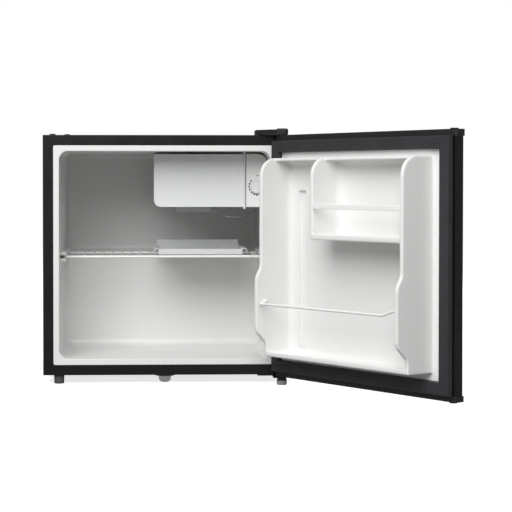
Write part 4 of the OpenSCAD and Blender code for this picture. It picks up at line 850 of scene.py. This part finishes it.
flare = 3.6
collar = add_turned("glide_collar_ring", [(6.3, collar_high.z), (collar_r + flare, collar_high.z),
                                          (collar_r + flare, collar_high.z - 0.8),
                                          (collar_r + 1.4, collar_low.z + 0.8),
                                          (collar_r, collar_low.z), (13.4, collar_low.z),
                                          (12.8, collar_low.z + 0.8), (6.3, collar_low.z + 0.8)], (0, 0))
finish_piece(collar, black_plastic, "black_plastic", "cabinet", "glide_collar", planes=still)
dome_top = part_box("glide_dome")[1].z / mm
flat_r, bend_r = 3, 9
bend = [(flat_r + bend_r * math.sin(turn), bend_r - bend_r * math.cos(turn))
        for turn in (math.radians(10 * i) for i in range(1, 9))]
dome = add_turned("glide_dome_pressed", [(0, 0), (flat_r, 0), *bend, (12, 9), (12, 12.8), (11.6, 13.3),
                                         (6, 13.4), (6, dome_top), (0, dome_top)], (0, 0))
nickel = Finish("nickel", Metallic=1.0)
nickel.vary(Base_Color=nickel.tint((0.70, 0.70, 0.70), (0.82, 0.82, 0.81), nickel.noise(200, 3)),
            Roughness=nickel.noise(420, 3) * 0.18 + 0.12)
nickel.bump(nickel.noise(900, 2), 0.00003)
finish_piece(dome, nickel, "bright_metal", "cabinet", "glide_dome", planes=still)
foot_grey = Finish("foot_grey", Specular_IOR_Level=0.4)
foot_grey.vary(Base_Color=foot_grey.tint((0.060, 0.061, 0.064), (0.085, 0.086, 0.089),
                                         foot_grey.noise(90, 3)),
               Roughness=foot_grey.noise(200, 2) * 0.2 + 0.4)
foot_grey.bump(foot_grey.noise(1200, 2), 0.00005)
foot_light = Finish("foot_light", Specular_IOR_Level=0.45)
foot_light.vary(Base_Color=foot_light.tint((0.25, 0.255, 0.26), (0.33, 0.335, 0.34), foot_light.noise(90, 3)),
                Roughness=foot_light.noise(200, 2) * 0.2 + 0.35)
foot_light.bump(foot_light.noise(1200, 2), 0.00005)
refine_all(foot_grey, "foot_grey", "foot_left", 0.15, "left_foot")
refine_all(foot_light, "foot_light", "foot_right", 0.5, "right_foot")
foot_axis = Vector((pivot.x, pivot.y, 0)) / mm
nut_low, nut_high = (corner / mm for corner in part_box("right_foot_locknut"))
nut = add_turned("right_foot_locknut_ribbed", [(3.6, nut_low.z), (8.8, nut_low.z), (9.6, nut_low.z + 0.6),
                                               (9.6, nut_high.z - 0.5), (9, nut_high.z), (3.6, nut_high.z)],
                 foot_axis)
pick(nut, "FACE", lambda p, way: math.hypot(p.x - foot_axis.x, p.y - foot_axis.y) > 9.3 and int(
    round(math.degrees(math.atan2(p.y - foot_axis.y, p.x - foot_axis.x)) / 5.625 - 0.5)) % 3 == 0)
bpy.ops.transform.resize(value=(0.93, 0.93, 1), center_override=foot_axis * mm)
bpy.ops.object.mode_set(mode="OBJECT")
finish_piece(nut, black_plastic, "black_plastic", "cabinet", "right_foot_locknut", planes=still)
rubber = Finish("rubber", Specular_IOR_Level=0.3)
rubber.vary(Base_Color=rubber.tint((0.016, 0.016, 0.017), (0.03, 0.03, 0.031), rubber.noise(70, 4)),
            Roughness=rubber.noise(160, 3) * 0.2 + 0.55)
rubber.bump(rubber.noise(1000, 3), 0.0001)
refine_all(rubber, "rubber_black", "cabinet", 0.8, "rear_feet")
refine_all(zinc, "zinc_steel", "cabinet", 0.3, "foot_socket")

# ---------------------------------------------------------------- rear sheet and floor sheets
# The rear sheet is painted steel with three long stiffening beads pressed into it; the floor is plain
# painted steel, and the stepped sheet over the compressor is folded from galvanised steel.

cover_node("back_panel", black_paint)
refine_all(black_paint, "black_paint", "cabinet", 0.2, "bottom_panel", "compressor_base")
galvanised = Finish("galvanised", Metallic=0.9)
crystals = galvanised.node("TexVoronoi", {"feature": "F1"}, {"Vector": galvanised.place, "Scale": 110.0}, 0)
galvanised.vary(Base_Color=galvanised.tint((0.40, 0.41, 0.42), (0.58, 0.59, 0.60), crystals * 1.4),
                Roughness=crystals * 0.2 + 0.34)
cover_node("compartment_plate", galvanised)

# ---------------------------------------------------------------- insulation and condenser
# Rigid foam is poured between the shell and the liner and in the door; the condenser tube is taped
# to the inside of both side sheets before that.

foam = Finish("foam", Specular_IOR_Level=0.2)
cells = foam.node("TexVoronoi", {"feature": "F1"}, {"Vector": foam.place, "Scale": 700.0}, 0)
foam.vary(Base_Color=foam.tint((0.56, 0.46, 0.27), (0.68, 0.58, 0.37), foam.noise(12, 4)),
          Roughness=cells * 0.2 + 0.7)
foam.bump(cells, 0.0003)
for node in ("foam_insulation", "door_foam"):
    cover_node(node, foam)
cover_node("condenser_coil", copper)

# ---------------------------------------------------------------- compressor
# A sealed steel pot in two drawn halves with a welded seam, black enamelled, on a leg plate that
# stands on four rubber grommets. A clipped cover hides its relay and terminals.

enamel = Finish("enamel", Coat_Weight=0.3, Coat_Roughness=0.2)
enamel.vary(Base_Color=enamel.tint((0.010, 0.010, 0.011), (0.020, 0.019, 0.018), enamel.noise(16, 4)),
            Roughness=enamel.noise(40, 3) * 0.2 + 0.3)
enamel.bump(enamel.noise(500, 2), 0.00012)
refine_all(enamel, "black_paint", "cabinet", 0.8, "compressor")
refine_all(black_plastic, "black_plastic", "cabinet", 1.2, "terminal_cover", "cord_gland")
refine_all(rubber, "rubber_black", "cabinet", 0.5, "compressor_grommets")
refine_all(zinc, "zinc_steel", "cabinet", 0.4, "compressor_bolts")
refine_all(copper, "copper", "cabinet", 0.1, "discharge_tube", "suction_tube", "filter_drier")

# ---------------------------------------------------------------- stage, lights and camera
# A plain pale floor that the camera sees but that throws no light on the object, one broad soft light
# above the front, a weaker one behind, and a camera in front of the cabinet, level with its upper third.

bpy.ops.object.select_all(action="DESELECT")
bpy.ops.mesh.primitive_plane_add(size=14, location=(0, 0, 0))
floor = bpy.context.object
floor.name = "floor"
floor_finish = Finish("floor_finish", Specular_IOR_Level=0.2, Emission_Strength=0.75,
                      Emission_Color=(1, 1, 1, 1))
floor_finish.vary(Base_Color=floor_finish.tint((0.93, 0.93, 0.93), (0.95, 0.95, 0.95),
                                               floor_finish.noise(2, 2)),
                  Roughness=floor_finish.noise(3, 2) * 0.1 + 0.6)
floor.data.materials.append(floor_finish.material)
floor.visible_diffuse = False
floor.visible_glossy = False

scene = bpy.context.scene
scene.view_settings.view_transform = "Standard"
world = bpy.data.worlds.new("studio")
scene.world = world
world.use_nodes = True
background = world.node_tree.nodes["Background"]
background.inputs["Color"].default_value = (1, 1, 1, 1)
seen = world.node_tree.nodes.new("ShaderNodeLightPath")
level = world.node_tree.nodes.new("ShaderNodeMapRange")
fill_level = 0.28                        # what the pieces get from the room; the camera sees it white
level.inputs["To Min"].default_value = fill_level
level.inputs["To Max"].default_value = 1.0
world.node_tree.links.new(seen.outputs["Is Camera Ray"], level.inputs["Value"])
world.node_tree.links.new(level.outputs["Result"], background.inputs["Strength"])


def add_light(name, place, aim, size, power):
    """A soft square lamp that looks at a point."""
    bpy.ops.object.select_all(action="DESELECT")
    bpy.ops.object.light_add(type="AREA", location=place)
    lamp = bpy.context.object
    lamp.name = name
    lamp.data.size = size
    lamp.data.energy = power
    lamp.rotation_euler = (Vector(aim) - Vector(place)).to_track_quat("-Z", "Y").to_euler()
    return lamp


add_light("key", (-0.7, -2.5, 2.2), (0.1, 0, 0.25), 2.4, 112)
rear_light = add_light("rear", (1.3, 2.6, 1.9), (0, 0.1, 0.2), 2.0, 55)
rear_light.visible_glossy = False
bpy.ops.object.camera_add(location=(-0.0562, -3.1028, 0.3893),
                          rotation=(math.radians(90 - 1.25), 0, math.radians(-2.1)))
camera = bpy.context.object
camera.data.sensor_width = 36
camera.data.lens = 111.75
camera.data.shift_x = 0.1206
camera.data.shift_y = -0.0750
scene.camera = camera
